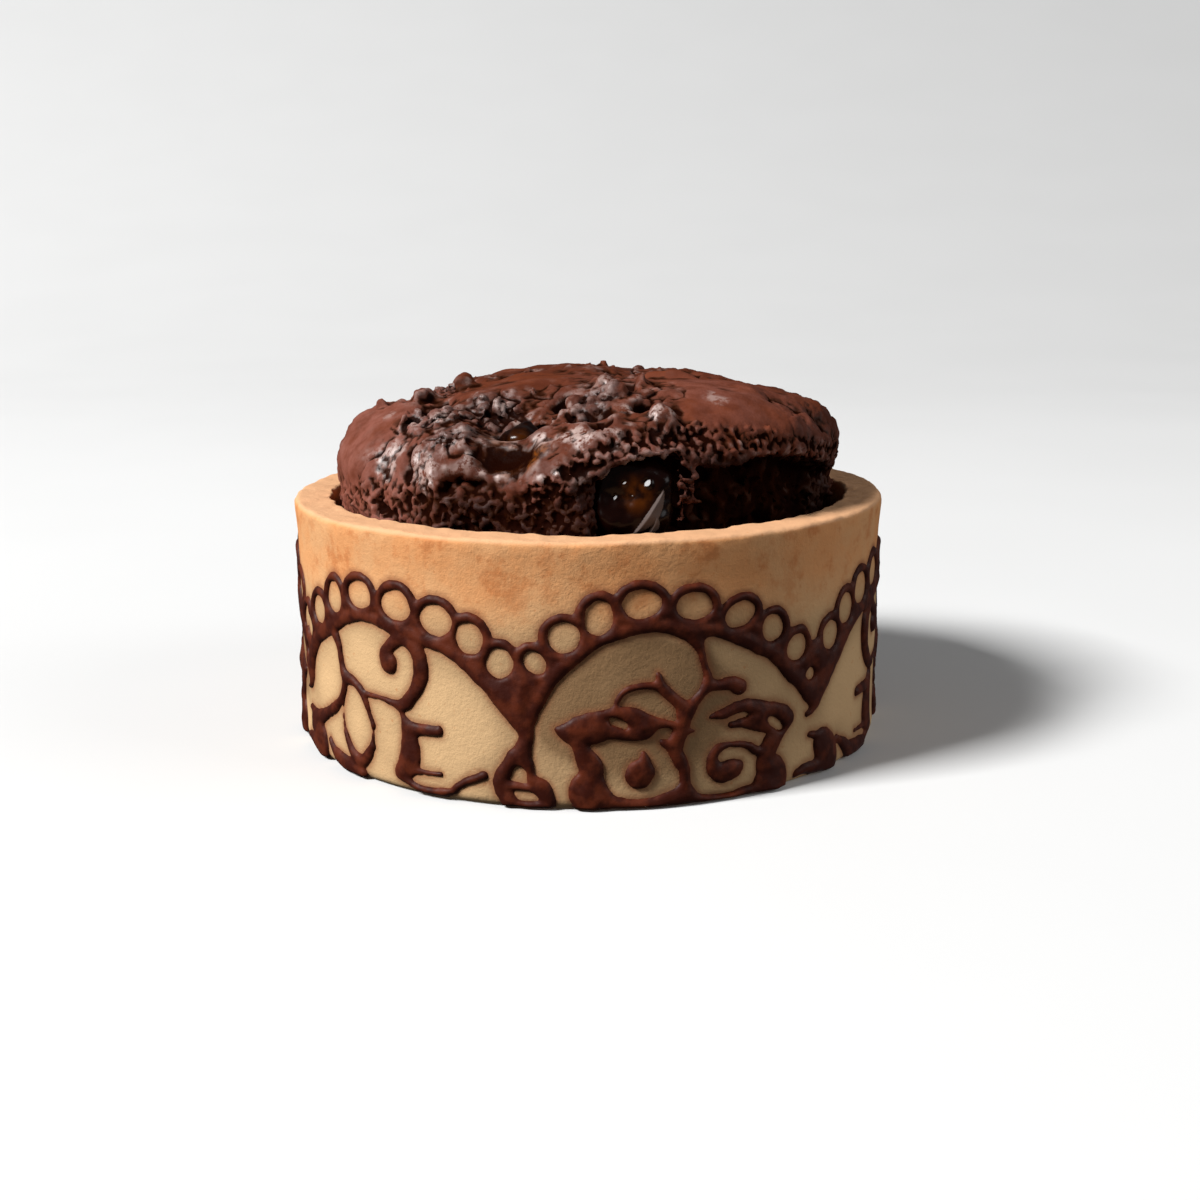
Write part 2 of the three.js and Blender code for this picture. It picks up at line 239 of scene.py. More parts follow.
def chip(points: np.ndarray, draw: np.random.Generator, cuts: int) -> np.ndarray:
    """Breaks flat faces onto a rounded lump.

    Args:
        points: the lump's points about its middle.
        draw: the seeded random draws.
        cuts: how many faces there are.

    Returns:
        The points of the chipped lump.
    """
    for way in draw.normal(size=(cuts, 3)):
        way = way / np.linalg.norm(way)
        along = points @ way
        over = np.maximum(along - draw.uniform(0.6, 0.85) * along.max(), 0)
        points = points - over[:, None] * way
    return points


def line_distance(points: np.ndarray, line: np.ndarray) -> np.ndarray:
    """Returns how far each point is from a line of straight stretches.

    Args:
        points: places, one row each, with as many columns as the line has.
        line: the points of the line.

    Returns:
        One distance for each place.
    """
    nearest = np.full(len(points), np.inf)
    for start, end in zip(line, line[1:]):
        along = end - start
        length = max(float(along @ along), 1e-9)
        share = np.clip((points - start) @ along / length, 0, 1)
        nearest = np.minimum(nearest, np.linalg.norm(points - start - share[:, None] * along, axis=1))
    return nearest


def hollows_of(piece: bpy.types.Object, rounds: int, reach: float) -> np.ndarray:
    """Returns how far each point lies below the skin round it: 1 in a crease and 0 on a crest.

    Args:
        piece: the mesh object.
        rounds: how often the skin is evened out to compare with, which sets how wide a crease counts.
        reach: the depth in millimetres that counts as 1.

    Returns:
        One value for each point.
    """
    points = points_of(piece)
    edges = np.empty(2 * len(piece.data.edges), np.int32)
    piece.data.edges.foreach_get("vertices", edges)
    start = np.concatenate([edges[0::2], edges[1::2]])
    end = np.concatenate([edges[1::2], edges[0::2]])
    count = np.maximum(np.bincount(start, minlength=len(points)), 1)
    even = points
    for _ in range(rounds):
        even = np.column_stack([np.bincount(start, axis[end], len(points)) / count for axis in even.T])
    lift = ((points - even) * normals_of(piece)).sum(1)
    return np.clip(0.5 - lift / (2 * reach), 0, 1)


@dataclass(frozen=True)
class Dab:
    """One touch of a modelling tool: a rise or a hollow along a short line on the surface."""

    line: tuple[Place, ...]
    reach: float
    push: float

    def weight(self, points: np.ndarray, wider: float = 1.0) -> np.ndarray:
        """Returns how much of the touch each point gets, from 0 to 1."""
        places = np.array(self.line, float)
        if len(places) == 1:
            distance = np.linalg.norm(points - places[0], axis=1)
        else:
            distance = line_distance(points, places)
        return np.exp(-((distance / (self.reach * wider)) ** 2))


# Finishes


class NodeSheet:
    """A material's nodes, with short ways to add and join them."""

    def __init__(self, name: str) -> None:
        """Starts a material with one principled shader."""
        self.material = bpy.data.materials.new(name)
        self.material.use_nodes = True
        self.tree = self.material.node_tree
        self.shader = self.tree.nodes["Principled BSDF"]

    def set(self, sockets: bpy.types.bpy_prop_collection, key: object, value: object) -> None:
        """Joins a socket to another one, or sets its constant."""
        socket = sockets[key]
        if isinstance(value, bpy.types.NodeSocket):
            self.tree.links.new(value, socket)
        else:
            socket.default_value = value

    def add(self, kind: str, inputs: dict[object, object], **settings: object) -> bpy.types.Node:
        """Adds one node.

        Args:
            kind: the node's type.
            inputs: a constant or another node's socket for each of its inputs.
            **settings: values of the node's own settings.

        Returns:
            The new node.
        """
        made = self.tree.nodes.new(kind)
        for name, value in settings.items():
            setattr(made, name, value)
        for key, value in inputs.items():
            self.set(made.inputs, key, value)
        return made

    def place(self) -> bpy.types.NodeSocket:
        """Returns the place on the object, in metres."""
        return self.add("ShaderNodeTexCoord", {}).outputs["Object"]

    def layer(self, layer: Layer) -> bpy.types.NodeSocket:
        """Returns a value that the mesh carries at its points."""
        return self.add("ShaderNodeAttribute", {}, attribute_name=layer.value).outputs["Fac"]

    def grain(self, span: float, detail: float = 3.0, rough: float = 0.55) -> bpy.types.NodeSocket:
        """Returns noise whose forms are about span millimetres wide."""
        inputs = {"Vector": self.place(), "Scale": 1 / (span * MM), "Detail": detail, "Roughness": rough}
        return self.add("ShaderNodeTexNoise", inputs).outputs["Fac"]

    def between(self, value: bpy.types.NodeSocket, low: float, high: float, start: float = 0.0,
                end: float = 1.0) -> bpy.types.NodeSocket:
        """Returns start below low and end above high, smoothly between them."""
        inputs = {"Value": value, "From Min": low, "From Max": high, "To Min": start, "To Max": end}
        kind = "ShaderNodeMapRange"
        return self.add(kind, inputs, interpolation_type="SMOOTHSTEP").outputs["Result"]

    def math(self, operation: str, first: object, second: object) -> bpy.types.NodeSocket:
        """Returns the result of one operation on two values, kept from 0 to 1."""
        inputs = {0: first, 1: second}
        return self.add("ShaderNodeMath", inputs, operation=operation, use_clamp=True).outputs[0]

    def mix(self, share: object, first: object, second: object) -> bpy.types.NodeSocket:
        """Returns a value between two values."""
        return self.add("ShaderNodeMix", {0: share, 2: first, 3: second}).outputs[0]

    def blend(self, share: object, first: object, second: object) -> bpy.types.NodeSocket:
        """Returns a colour between two colours."""
        return self.add("ShaderNodeMix", {0: share, 6: first, 7: second}, data_type="RGBA").outputs[2]

    def bump(self, height: bpy.types.NodeSocket, depth: float, strength: object,
             under: bpy.types.NodeSocket | None = None) -> bpy.types.NodeSocket:
        """Returns a surface direction with fine relief that is depth millimetres deep."""
        inputs = {"Height": height, "Distance": depth * MM, "Strength": strength}
        if under is not None:
            inputs["Normal"] = under
        return self.add("ShaderNodeBump", inputs).outputs["Normal"]

    def shade(self, **inputs: object) -> None:
        """Sets the shader's own sockets, named with _ for a space."""
        for name, value in inputs.items():
            self.set(self.shader.inputs, name.replace("_", " "), value)


@dataclass(frozen=True)
class DoughFinish:
    """Matte baked dough: pale low on the wall, golden brown under the rim, pale again on its top."""

    pale: Colour = (0.60, 0.385, 0.195, 1)
    golden: Colour = (0.62, 0.275, 0.105, 1)
    freckle: Colour = (0.46, 0.150, 0.042, 1)
    top: Colour = (0.64, 0.36, 0.195, 1)
    stain: Colour = (0.25, 0.085, 0.034, 1)
    # spread colours both a faint cocoa spread where lace lines crowd and painted shade low inside the bloom
    # scallops.
    spread: Colour = (0.21, 0.115, 0.050, 1)
    golden_from: float = 16.5
    golden_to: float = 24.0
    top_from: float = 28.2
    top_to: float = 28.6
    stained: float = 0.75
    roughness: float = 0.82
    shine: float = 0.2

    def material(self) -> bpy.types.Material:
        """Builds the dough's material."""
        sheet = NodeSheet("cookie_dough")
        height = sheet.add("ShaderNodeSeparateXYZ", {"Vector": sheet.place()}).outputs["Z"]
        browned = sheet.between(height, self.golden_from * MM, self.golden_to * MM)
        patches = sheet.between(sheet.grain(7.0, 4.0, 0.6), 0.35, 0.65, 0.62, 1.0)
        browned = sheet.math("MULTIPLY", browned, patches)
        colour = sheet.blend(browned, self.pale, self.golden)
        mottle = sheet.between(sheet.grain(3.2, 6.0, 0.68), 0.48, 0.66, 0.0, 0.7)
        colour = sheet.blend(sheet.math("MULTIPLY", mottle, browned), colour, self.freckle)
        cut = sheet.between(height, self.top_from * MM, self.top_to * MM, 0.0, 0.85)
        colour = sheet.blend(cut, colour, self.top)
        specks = sheet.between(sheet.grain(0.7, 3.0, 0.6), 0.64, 0.74, 0.0, 0.45)
        colour = sheet.blend(specks, colour, self.freckle)
        # Cocoa spread where lines crowd, and painted shade low inside the bloom scallops.
        colour = sheet.blend(sheet.layer(Layer.SPREAD), colour, self.spread)
        stained = sheet.math("MULTIPLY", sheet.layer(Layer.STAIN), self.stained)
        colour = sheet.blend(stained, colour, self.stain)
        crumb = sheet.bump(sheet.grain(0.45, 5.0, 0.7), 0.12, 0.7)
        crumb = sheet.bump(sheet.grain(2.6, 4.0, 0.65), 0.3, 0.4, crumb)
        sheet.shade(Base_Color=colour, Roughness=self.roughness, Specular_IOR_Level=self.shine, Normal=crumb)
        return sheet.material


@dataclass(frozen=True)
class LaceFinish:
    """Baked cocoa paste: dark reddish brown with a slight dull shine."""

    dark: Colour = (0.036, 0.0048, 0.0014, 1)
    light: Colour = (0.086, 0.0155, 0.0050, 1)
    smoothest: float = 0.48
    roughest: float = 0.66
    shine: float = 0.14

    def material(self) -> bpy.types.Material:
        """Builds the lace's material."""
        sheet = NodeSheet("cocoa_lace")
        colour = sheet.blend(sheet.between(sheet.grain(2.2), 0.4, 0.65), self.dark, self.light)
        rough = sheet.between(sheet.grain(0.9), 0.3, 0.7, self.smoothest, self.roughest)
        relief = sheet.bump(sheet.grain(0.7, 4.0, 0.6), 0.1, 0.55)
        sheet.shade(Base_Color=colour, Roughness=rough, Specular_IOR_Level=self.shine, Normal=relief)
        return sheet.material


@dataclass(frozen=True)
class BrownieFinish:
    """Reddish brown crust, matte where it is even and shiny where it is lumpy, over dark moist crumb;
    creases, hollows and the cave carry painted shade, and pale sheen and a lit left side are painted on the
    crust.
    """

    crust: Colour = (0.080, 0.0162, 0.0052, 1)
    rust: Colour = (0.108, 0.0225, 0.0064, 1)
    # dusty is pale dust and also painted light: the left side where the light falls, and sheen on strands,
    # the ledge and grain crests.
    dusty_and_lit: Colour = (0.180, 0.0590, 0.0400, 1)
    lumpy: Colour = (0.050, 0.0125, 0.0060, 1)
    crumb: Colour = (0.023, 0.0054, 0.0030, 1)
    # film is pale sugar film laid where highlights fall, so it is also painted highlight.
    film_and_sheen: Colour = (0.340, 0.230, 0.200, 1)
    # pocket and hollow are painted shade: amber-brown, then near black, in creases, deep hollows and the
    # cave.
    pocket: Colour = (0.034, 0.0080, 0.0016, 1)
    hollow: Colour = (0.0075, 0.0014, 0.0006, 1)
    wet: Colour = (0.016, 0.0038, 0.0008, 1)
    amber: Colour = (0.150, 0.0380, 0.0026, 1)
    matte: float = 0.74
    filmed: float = 0.4
    moist: float = 0.3

    def material(self) -> bpy.types.Material:
        """Builds the brownie's material."""
        sheet = NodeSheet("brownie_crumb")
        wet = sheet.layer(Layer.WET)
        even = sheet.layer(Layer.EVEN)
        cloud = sheet.between(sheet.grain(2.2, 5.0, 0.68), 0.3, 0.7, 0.4, 1.6)
        flecks = sheet.between(sheet.grain(0.9, 5.0, 0.7), 0.38, 0.52)
        # Painted highlight: pale film flecks where highlights fall on lumps and crests.
        film_and_sheen = sheet.math("MULTIPLY", sheet.layer(Layer.FILM), flecks)
        tone = sheet.between(sheet.grain(4.5, 4.0, 0.6), 0.42, 0.6)
        colour = sheet.blend(even, self.lumpy, sheet.blend(tone, self.crust, self.rust))
        # Pale dust mixed with painted light on the lit left side and painted sheen.
        colour = sheet.blend(sheet.math("MULTIPLY", sheet.layer(Layer.DUSTY), cloud), colour, self.dusty_and_lit)
        colour = sheet.blend(sheet.layer(Layer.CRUST), self.crumb, colour)
        # Painted shade: creases, deep hollows and the cave go amber-brown, then near black, and lose their
        # shine.
        crease_shade_share = sheet.between(sheet.layer(Layer.HOLLOW), 0.5, 0.82, 0.0, 0.96)
        pocket = sheet.between(sheet.layer(Layer.HOLLOW), 0.4, 0.6, 0.0, 0.9)
        syrup = sheet.blend(sheet.between(sheet.grain(1.8, 3.0, 0.6), 0.42, 0.62), self.wet, self.amber)
        colour = sheet.blend(wet, colour, syrup)
        colour = sheet.blend(film_and_sheen, colour, self.film_and_sheen)
        colour = sheet.blend(pocket, colour, self.pocket)
        colour = sheet.blend(crease_shade_share, colour, self.hollow)
        glints = sheet.between(sheet.grain(1.5, 4.0, 0.65), 0.4, 0.6, 0.6, 0.42)
        rough = sheet.mix(even, glints, self.matte)
        rough = sheet.mix(film_and_sheen, rough, self.filmed)
        rough = sheet.mix(wet, rough, self.moist)
        level = sheet.between(rough, 0.4, 0.7, 0.9, 0.08)
        level = sheet.math("MULTIPLY", level, sheet.between(wet, 0.0, 1.0, 1.0, 0.14))
        level = sheet.math("MULTIPLY", level, sheet.between(crease_shade_share, 0.1, 0.7, 1.0, 0.05))
        depth = sheet.between(even, 0.0, 1.0, 0.9, 0.5)
        relief = sheet.bump(sheet.grain(0.42, 5.0, 0.7), 0.15, depth)
        sheet.shade(Base_Color=colour, Roughness=rough, Specular_IOR_Level=level, Normal=relief)
        return sheet.material


@dataclass(frozen=True)
class ChocolateFinish:
    """Half melted dark chocolate: very dark, smooth and glossy, with an amber glow painted about one point
    of each chunk as painted light, and dull grey where it has broken, which is partly a painted reflection.
    """

    dark: Colour = (0.0045, 0.0007, 0.0002, 1)
    # amber is painted light glowing through the chocolate; broken is dull grey, partly a painted reflection.
    amber: Colour = (0.052, 0.0120, 0.0008, 1)
    broken: Colour = (0.074, 0.052, 0.045, 1)
    glossy: float = 0.24
    dull: float = 0.55
    shine: float = 0.13

    def material(self) -> bpy.types.Material:
        """Builds the chocolate's material."""
        sheet = NodeSheet("dark_chocolate")
        broken = sheet.layer(Layer.BROKEN)
        cloud = sheet.between(sheet.grain(2.2), 0.35, 0.6)
        colour = sheet.blend(sheet.math("MULTIPLY", sheet.layer(Layer.AMBER), cloud), self.dark, self.amber)
        colour = sheet.blend(broken, colour, self.broken)
        rough = sheet.between(broken, 0.0, 1.0, self.glossy, self.dull)
        relief = sheet.bump(sheet.grain(1.4, 2.0, 0.5), 0.12, 0.3)
        sheet.shade(Base_Color=colour, Roughness=rough, Specular_IOR_Level=self.shine, Normal=relief)
        return sheet.material


@dataclass(frozen=True)
class FloorFinish:
    """Plain pale floor."""

    pale: Colour = (0.66, 0.66, 0.655, 1)

    def material(self) -> bpy.types.Material:
        """Builds the floor's material."""
        sheet = NodeSheet("pale_floor")
        shade = sheet.between(sheet.grain(60.0), 0.3, 0.7, 0.72, 0.8)
        sheet.shade(Base_Color=self.pale, Roughness=shade)
        return sheet.material


# Cookie cup


@dataclass
class CookieCup:
    """The straight-walled cookie cup: wall, floor and rounded, slightly uneven rim."""

    radius: float = 35.0
    height: float = 28.7
    wall: float = 4.1
    floor: float = 4.0
    lip: float = 0.2
    lip_drop: float = 5.0
    base_round: float = 1.3
    rim_outer: float = 0.6
    rim_inner: float = 0.35
    inside_round: float = 0.7
    sides: int = 560
    wall_rows: int = 52
    inner_rows: int = 14
    rim_rows: int = 9
    wave: float = 0.12
    ragged: float = 0.34

    def swell(self, points: np.ndarray) -> np.ndarray:
        """Returns how far the wall stands out at each place from a true cylinder."""
        lip = self.lip * ease(self.height - self.lip_drop, self.height - self.rim_outer, points[:, 2])
        waves = soft_noise(points, 13.0, 3.7) + 0.45 * soft_noise(points, 4.2, 9.1)
        return lip + self.wave * waves

    def build(self, lace: "Lace") -> bpy.types.Object:
        """Models the cup.

        Args:
            lace: the lace whose brown edge stains the dough, and which sets the cocoa spread and the painted
                shade inside its bloom scallops.

        Returns:
            The finished cup.
        """
        piece = self.hollow_block()
        self.round_edges(piece)
        self.cut_rows(piece)
        bpy.ops.object.mode_set(mode="OBJECT")
        self.make_uneven(piece)
        # wide holds the cocoa spread and the painted shade low inside the bloom scallops.
        near, wide = lace.stain_and_shade_at(points_of(piece))
        put_layer(piece, Layer.STAIN, near)
        put_layer(piece, Layer.SPREAD, wide)
        return settle(piece, "cookie_cup")

    def hollow_block(self) -> bpy.types.Object:
        """Starts from a cylinder, insets its top and pushes the inside down to the floor."""
        bpy.ops.object.select_all(action="DESELECT")
        middle = (0, 0, self.height / 2 * MM)
        bpy.ops.mesh.primitive_cylinder_add(
            vertices=self.sides, radius=self.radius * MM, depth=self.height * MM, location=middle
        )
        piece = bpy.context.object
        bpy.ops.object.transform_apply(location=True, rotation=True, scale=True)
        bpy.ops.object.mode_set(mode="EDIT")
        pick(piece, "FACE", lambda face: face.normal.z > 0.9)
        bpy.ops.mesh.inset(thickness=self.wall * MM)
        down = (0, 0, (self.floor - self.height) * MM)
        bpy.ops.mesh.extrude_region_move(TRANSFORM_OT_translate={"value": down})
        pick(piece, "FACE", lambda face: len(face.verts) > 4)
        bpy.ops.mesh.poke()
        return piece

    def ring_test(self, radius: float, level: float) -> Test:
        """Returns a test for the edges that run round the cup at one radius and level."""
        near = 0.05

        def on_ring(edge: bmesh.types.BMEdge) -> bool:
            """Tests one edge."""
            places = [vert.co / MM for vert in edge.verts]
            return all(abs(p.z - level) < near and abs(p.xy.length - radius) < near for p in places)

        return on_ring

    def round_edges(self, piece: bpy.types.Object) -> None:
        """Bevels the base, both edges of the rim and the corner inside."""
        inner = self.radius - self.wall
        rings = (
            (self.radius, 0.0, self.base_round, 5),
            (self.radius, self.height, self.rim_outer, 6),
            (inner, self.height, self.rim_inner, 5),
            (inner, self.floor, self.inside_round, 3),
        )
        for radius, level, size, segments in rings:
            pick(piece, "EDGE", self.ring_test(radius, level))
            bpy.ops.mesh.bevel(offset=size * MM, segments=segments, affect="EDGES")

    def cut_rows(self, piece: bpy.types.Object) -> None:
        """Divides the long edges of the walls and the rim, so that they can be shaped."""
        long_edge = 1.5

        def spans(edge: bmesh.types.BMEdge, radius: float) -> bool:
            """Tests whether an edge runs up the wall at one radius."""
            start, end = (vert.co / MM for vert in edge.verts)
            upright = abs(start.z - end.z) > long_edge
            return upright and abs(start.xy.length - radius) < 0.2 and abs(end.xy.length - radius) < 0.2

        def across_rim(edge: bmesh.types.BMEdge) -> bool:
            """Tests whether an edge runs across the top of the rim."""
            start, end = (vert.co / MM for vert in edge.verts)
            level = min(start.z, end.z) > self.height - 0.1
            return level and abs(start.xy.length - end.xy.length) > long_edge

        pick(piece, "EDGE", lambda edge: spans(edge, self.radius))
        bpy.ops.mesh.subdivide(number_cuts=self.wall_rows)
        pick(piece, "EDGE", lambda edge: spans(edge, self.radius - self.wall))
        bpy.ops.mesh.subdivide(number_cuts=self.inner_rows)
        pick(piece, "EDGE", across_rim)
        bpy.ops.mesh.subdivide(number_cuts=self.rim_rows)

    def make_uneven(self, piece: bpy.types.Object) -> None:
        """Moves the points a little: soft waves in the wall, a wavy top and a ragged inner edge."""
        points = points_of(piece)
        around = from_axis(points)
        outward = points[:, :2] / np.maximum(around, 1e-6)[:, None]
        outside = ease(self.radius - self.wall * 0.7, self.radius - 0.4, around)
        lifted = ease(0.0, 2.0, points[:, 2])
        inner = self.radius - self.wall
        near_rim = ease(self.height - 3.0, self.height - 0.6, points[:, 2])
        at_edge = near_rim * np.exp(-(((around - inner - 0.3) / 0.9) ** 2))
        rough = soft_noise(points, 2.4, 5.3) + 0.6 * soft_noise(points, 1.1, 1.9)
        shift = outside * lifted * self.swell(points) + self.ragged * at_edge * rough
        shift = shift + 0.1 * outside * near_rim * soft_noise(points, 1.2, 3.4)
        rise = near_rim * (0.2 * soft_noise(points, 9.0, 7.7) + 0.1 * soft_noise(points, 2.0, 2.3))
        rise = rise + 0.07 * near_rim * soft_noise(points, 0.9, 4.9)
        rise = rise + 0.5 * self.ragged * at_edge * soft_noise(points, 1.7, 6.1)
        points[:, :2] += outward * shift[:, None]
        points[:, 2] += rise
        move_points(piece, points)


# Lace


@dataclass(frozen=True)
class Line:
    """A drawn line of lace on the flat strip: its points and its half width at each of them."""

    points: np.ndarray
    halves: np.ndarray

    def box(self) -> tuple[np.ndarray, np.ndarray]:
        """Returns the low and the high corner of the box round the line."""
        around = self.halves[:, None]
        return (self.points - around).min(0), (self.points + around).max(0)

    def gap(self, flat: np.ndarray) -> np.ndarray:
        """Returns how far each place lies outside the line, below 0 inside it."""
        apart = np.linalg.norm(flat[:, None] - self.points[None], axis=2)
        return (apart - self.halves).min(1)


@dataclass(frozen=True)
class Cell:
    """One ellipse on the flat strip: its middle, its half sizes and its tilt in degrees."""

    at: Point
    half: Point
    tilt: float = 0.0

    def grown(self, extra: float) -> "Cell":
        """Returns the same ellipse, larger all round."""
        return Cell(self.at, (self.half[0] + extra, self.half[1] + extra), self.tilt)

    def laid(self, start: float, stretch: float) -> "Cell":
        """Returns the ellipse moved along the strip and stretched, or mirrored below 0."""
        across, up = self.at
        wide, tall = self.half
        tilt = self.tilt if stretch > 0 else -self.tilt
        return Cell((start + across * stretch, up), (wide * abs(stretch), tall), tilt)

    def box(self) -> tuple[np.ndarray, np.ndarray]:
        """Returns the low and the high corner of a box that holds the ellipse."""
        around = max(self.half)
        return np.array(self.at) - around, np.array(self.at) + around

    def gap(self, flat: np.ndarray) -> np.ndarray:
        """Returns about how far each place lies outside the ellipse, below 0 inside it."""
        turn = math.radians(self.tilt)
        away = flat - self.at
        along = away @ np.array([math.cos(turn), math.sin(turn)]) / self.half[0]
        across = away @ np.array([-math.sin(turn), math.cos(turn)]) / self.half[1]
        share = np.hypot(along, across) + 1e-9
        return np.linalg.norm(away, axis=1) * (1 - 1 / share)


# A stroke is a row of places across and up, each with the width of the line there.
Stroke = tuple[tuple[float, float, float], ...]


@dataclass(frozen=True)
class Motif:
    """One drawing of the lace: strokes, the openings of its row of rings, other openings, and cells of
    painted shade on the dough.
    """

    strokes: tuple[Stroke, ...]
    rings: tuple[Cell, ...] = ()
    slits: tuple[Cell, ...] = ()
    shade_cells: tuple[Cell, ...] = ()


@dataclass(frozen=True)
class Scallop:
    """One scallop of the lace, with the cusp at its left."""

    pitch: float
    motif: Motif
    mirror: int
    cusp: Motif


BLOOM = Motif(
    strokes=(
        ((-17, 9.4, 1.7), (-15, 13.4, 1.7), (-12.9, 15.9, 1.8), (-9.6, 18.2, 1.3), (-7.6, 19.2, 1.7),
         (-4.2, 19.8, 1.4), (-1.8, 19.7, 1.8), (0.6, 19, 2.2), (3.2, 18.9, 1.7), (5.8, 17.9, 1.9),
         (10.4, 15.5, 1.8), (12.9, 13, 2), (15.2, 10.8, 2), (16.8, 8.8, 1.4)),
        ((0.7, 18.6, 2), (1.5, 16.8, 0.9), (1.95, 15.2, 0.85), (2.25, 13.9, 1), (2.1, 12.8, 1.3),
         (1, 11.5, 1.2), (0, 10.4, 1.9), (-0.4, 9.2, 1.7), (-0.7, 8.2, 1.7), (-1.1, 7.2, 1.8),
         (-1.2, 6.1, 1.6), (-0.7, 5, 1.5), (-0.3, 3.9, 1.2), (-0.2, 2.6, 1.2), (-0.2, 1.4, 2.2)),
        ((2.4, 12.9, 1.2), (3.7, 12.9, 1.2), (5.1, 12.9, 1.5), (6.1, 12.3, 1.7)),
        ((0, 10.6, 1.6), (-1.4, 11.7, 1.2), (-2.7, 13.1, 1.1), (-3.1, 14.6, 0.5)),
        ((-3.1, 13.4, 0.8), (-5, 13.4, 0.7), (-6.5, 13, 0.6), (-7.3, 12.2, 0.5), (-7.7, 11.2, 0.5)),
        ((-13.6, 8.9, 0.8), (-12.2, 8.7, 2.4), (-10.4, 9, 3.3), (-8.4, 9.5, 3.2), (-6.5, 9.5, 3.5),
         (-4.6, 9.1, 2.8), (-3.2, 9.3, 1.3), (-1.2, 9, 0.8)),
        ((-1.6, 6.8, 1.3), (-2.8, 7.4, 0.5)),
        ((-0.4, 8.3, 1), (0.8, 8.1, 0.4)),
        ((-11.6, 7.8, 1.8), (-10.9, 6.2, 2), (-10.2, 4.8, 2.6), (-10.3, 3.6, 2.8), (-10.5, 2.3, 4),
         (-10, 1.2, 4.2)),
        ((-9.6, 1.2, 1.6), (-7.2, 0.8, 1.3), (-4.5, 0.5, 1.2), (-2, 0.9, 1.7), (-0.2, 1.4, 1.8)),
        ((-4.8, 6.2, 0.5), (-4.7, 5.2, 1.3), (-5, 4, 3), (-5.1, 3.8, 3)),
        ((2.7, 9.5, 0.5), (4.2, 9.7, 1.1), (6, 9.8, 1.9), (7.8, 9.3, 3), (9.4, 8.6, 3.4), (11.2, 8.2, 3.1),
         (12.5, 7.9, 2)),
        ((5, 8.3, 0.7), (6.6, 8.2, 0.9), (8.6, 7.7, 1.2)),
        ((12.2, 7.3, 1.5), (10.8, 6, 2.3), (10, 4.8, 2.4), (9.7, 3.6, 2.5), (10.4, 2, 4), (10.3, 1, 4.6)),
        ((9.4, 4.6, 1.2), (8.2, 5, 1), (7.2, 5.7, 0.9), (6, 6.1, 0.6), (4.6, 6.2, 0.6), (3.5, 5.8, 1.2),
         (3, 4.8, 1.4), (3.3, 3.7, 1.8), (4.1, 3.2, 2.3), (5.2, 3.3, 2.4), (5.8, 3.5, 1.8)),
        ((9, 0.8, 1.4), (7.2, 0.6, 1.1), (5, 0.3, 0.8), (2, 0.5, 0.8), (0.2, 1.2, 1.4)),
    ),
    rings=(
        Cell((-15.95, 16), (1.4, 1), -50), Cell((-12.9, 18.7), (1.7, 1.6), 20),
        Cell((-9.3, 20.8), (1.5, 1.9), -12), Cell((-4.8, 22.1), (2.05, 1.6)), Cell((0.75, 21.6), (2, 1.5)),
        Cell((6.1, 20.2), (1.85, 1.3), 20), Cell((10.25, 18.2), (1.35, 1.5), 20),
        Cell((13.75, 15.55), (1.5, 1.5)),
    ),
    slits=(
        Cell((-7.3, 9.6), (1.2, 0.4), -22), Cell((-2.6, 8.3), (0.75, 0.45), 15),
        Cell((6, 9.1), (1.3, 0.3), 3), Cell((10.8, 7.6), (1.3, 0.5), -38),
    ),
    # Painted shade: the dough low inside the bloom is darkened in its colour.
    shade_cells=(Cell((-5.5, 11), (12, 8.5)),),
)

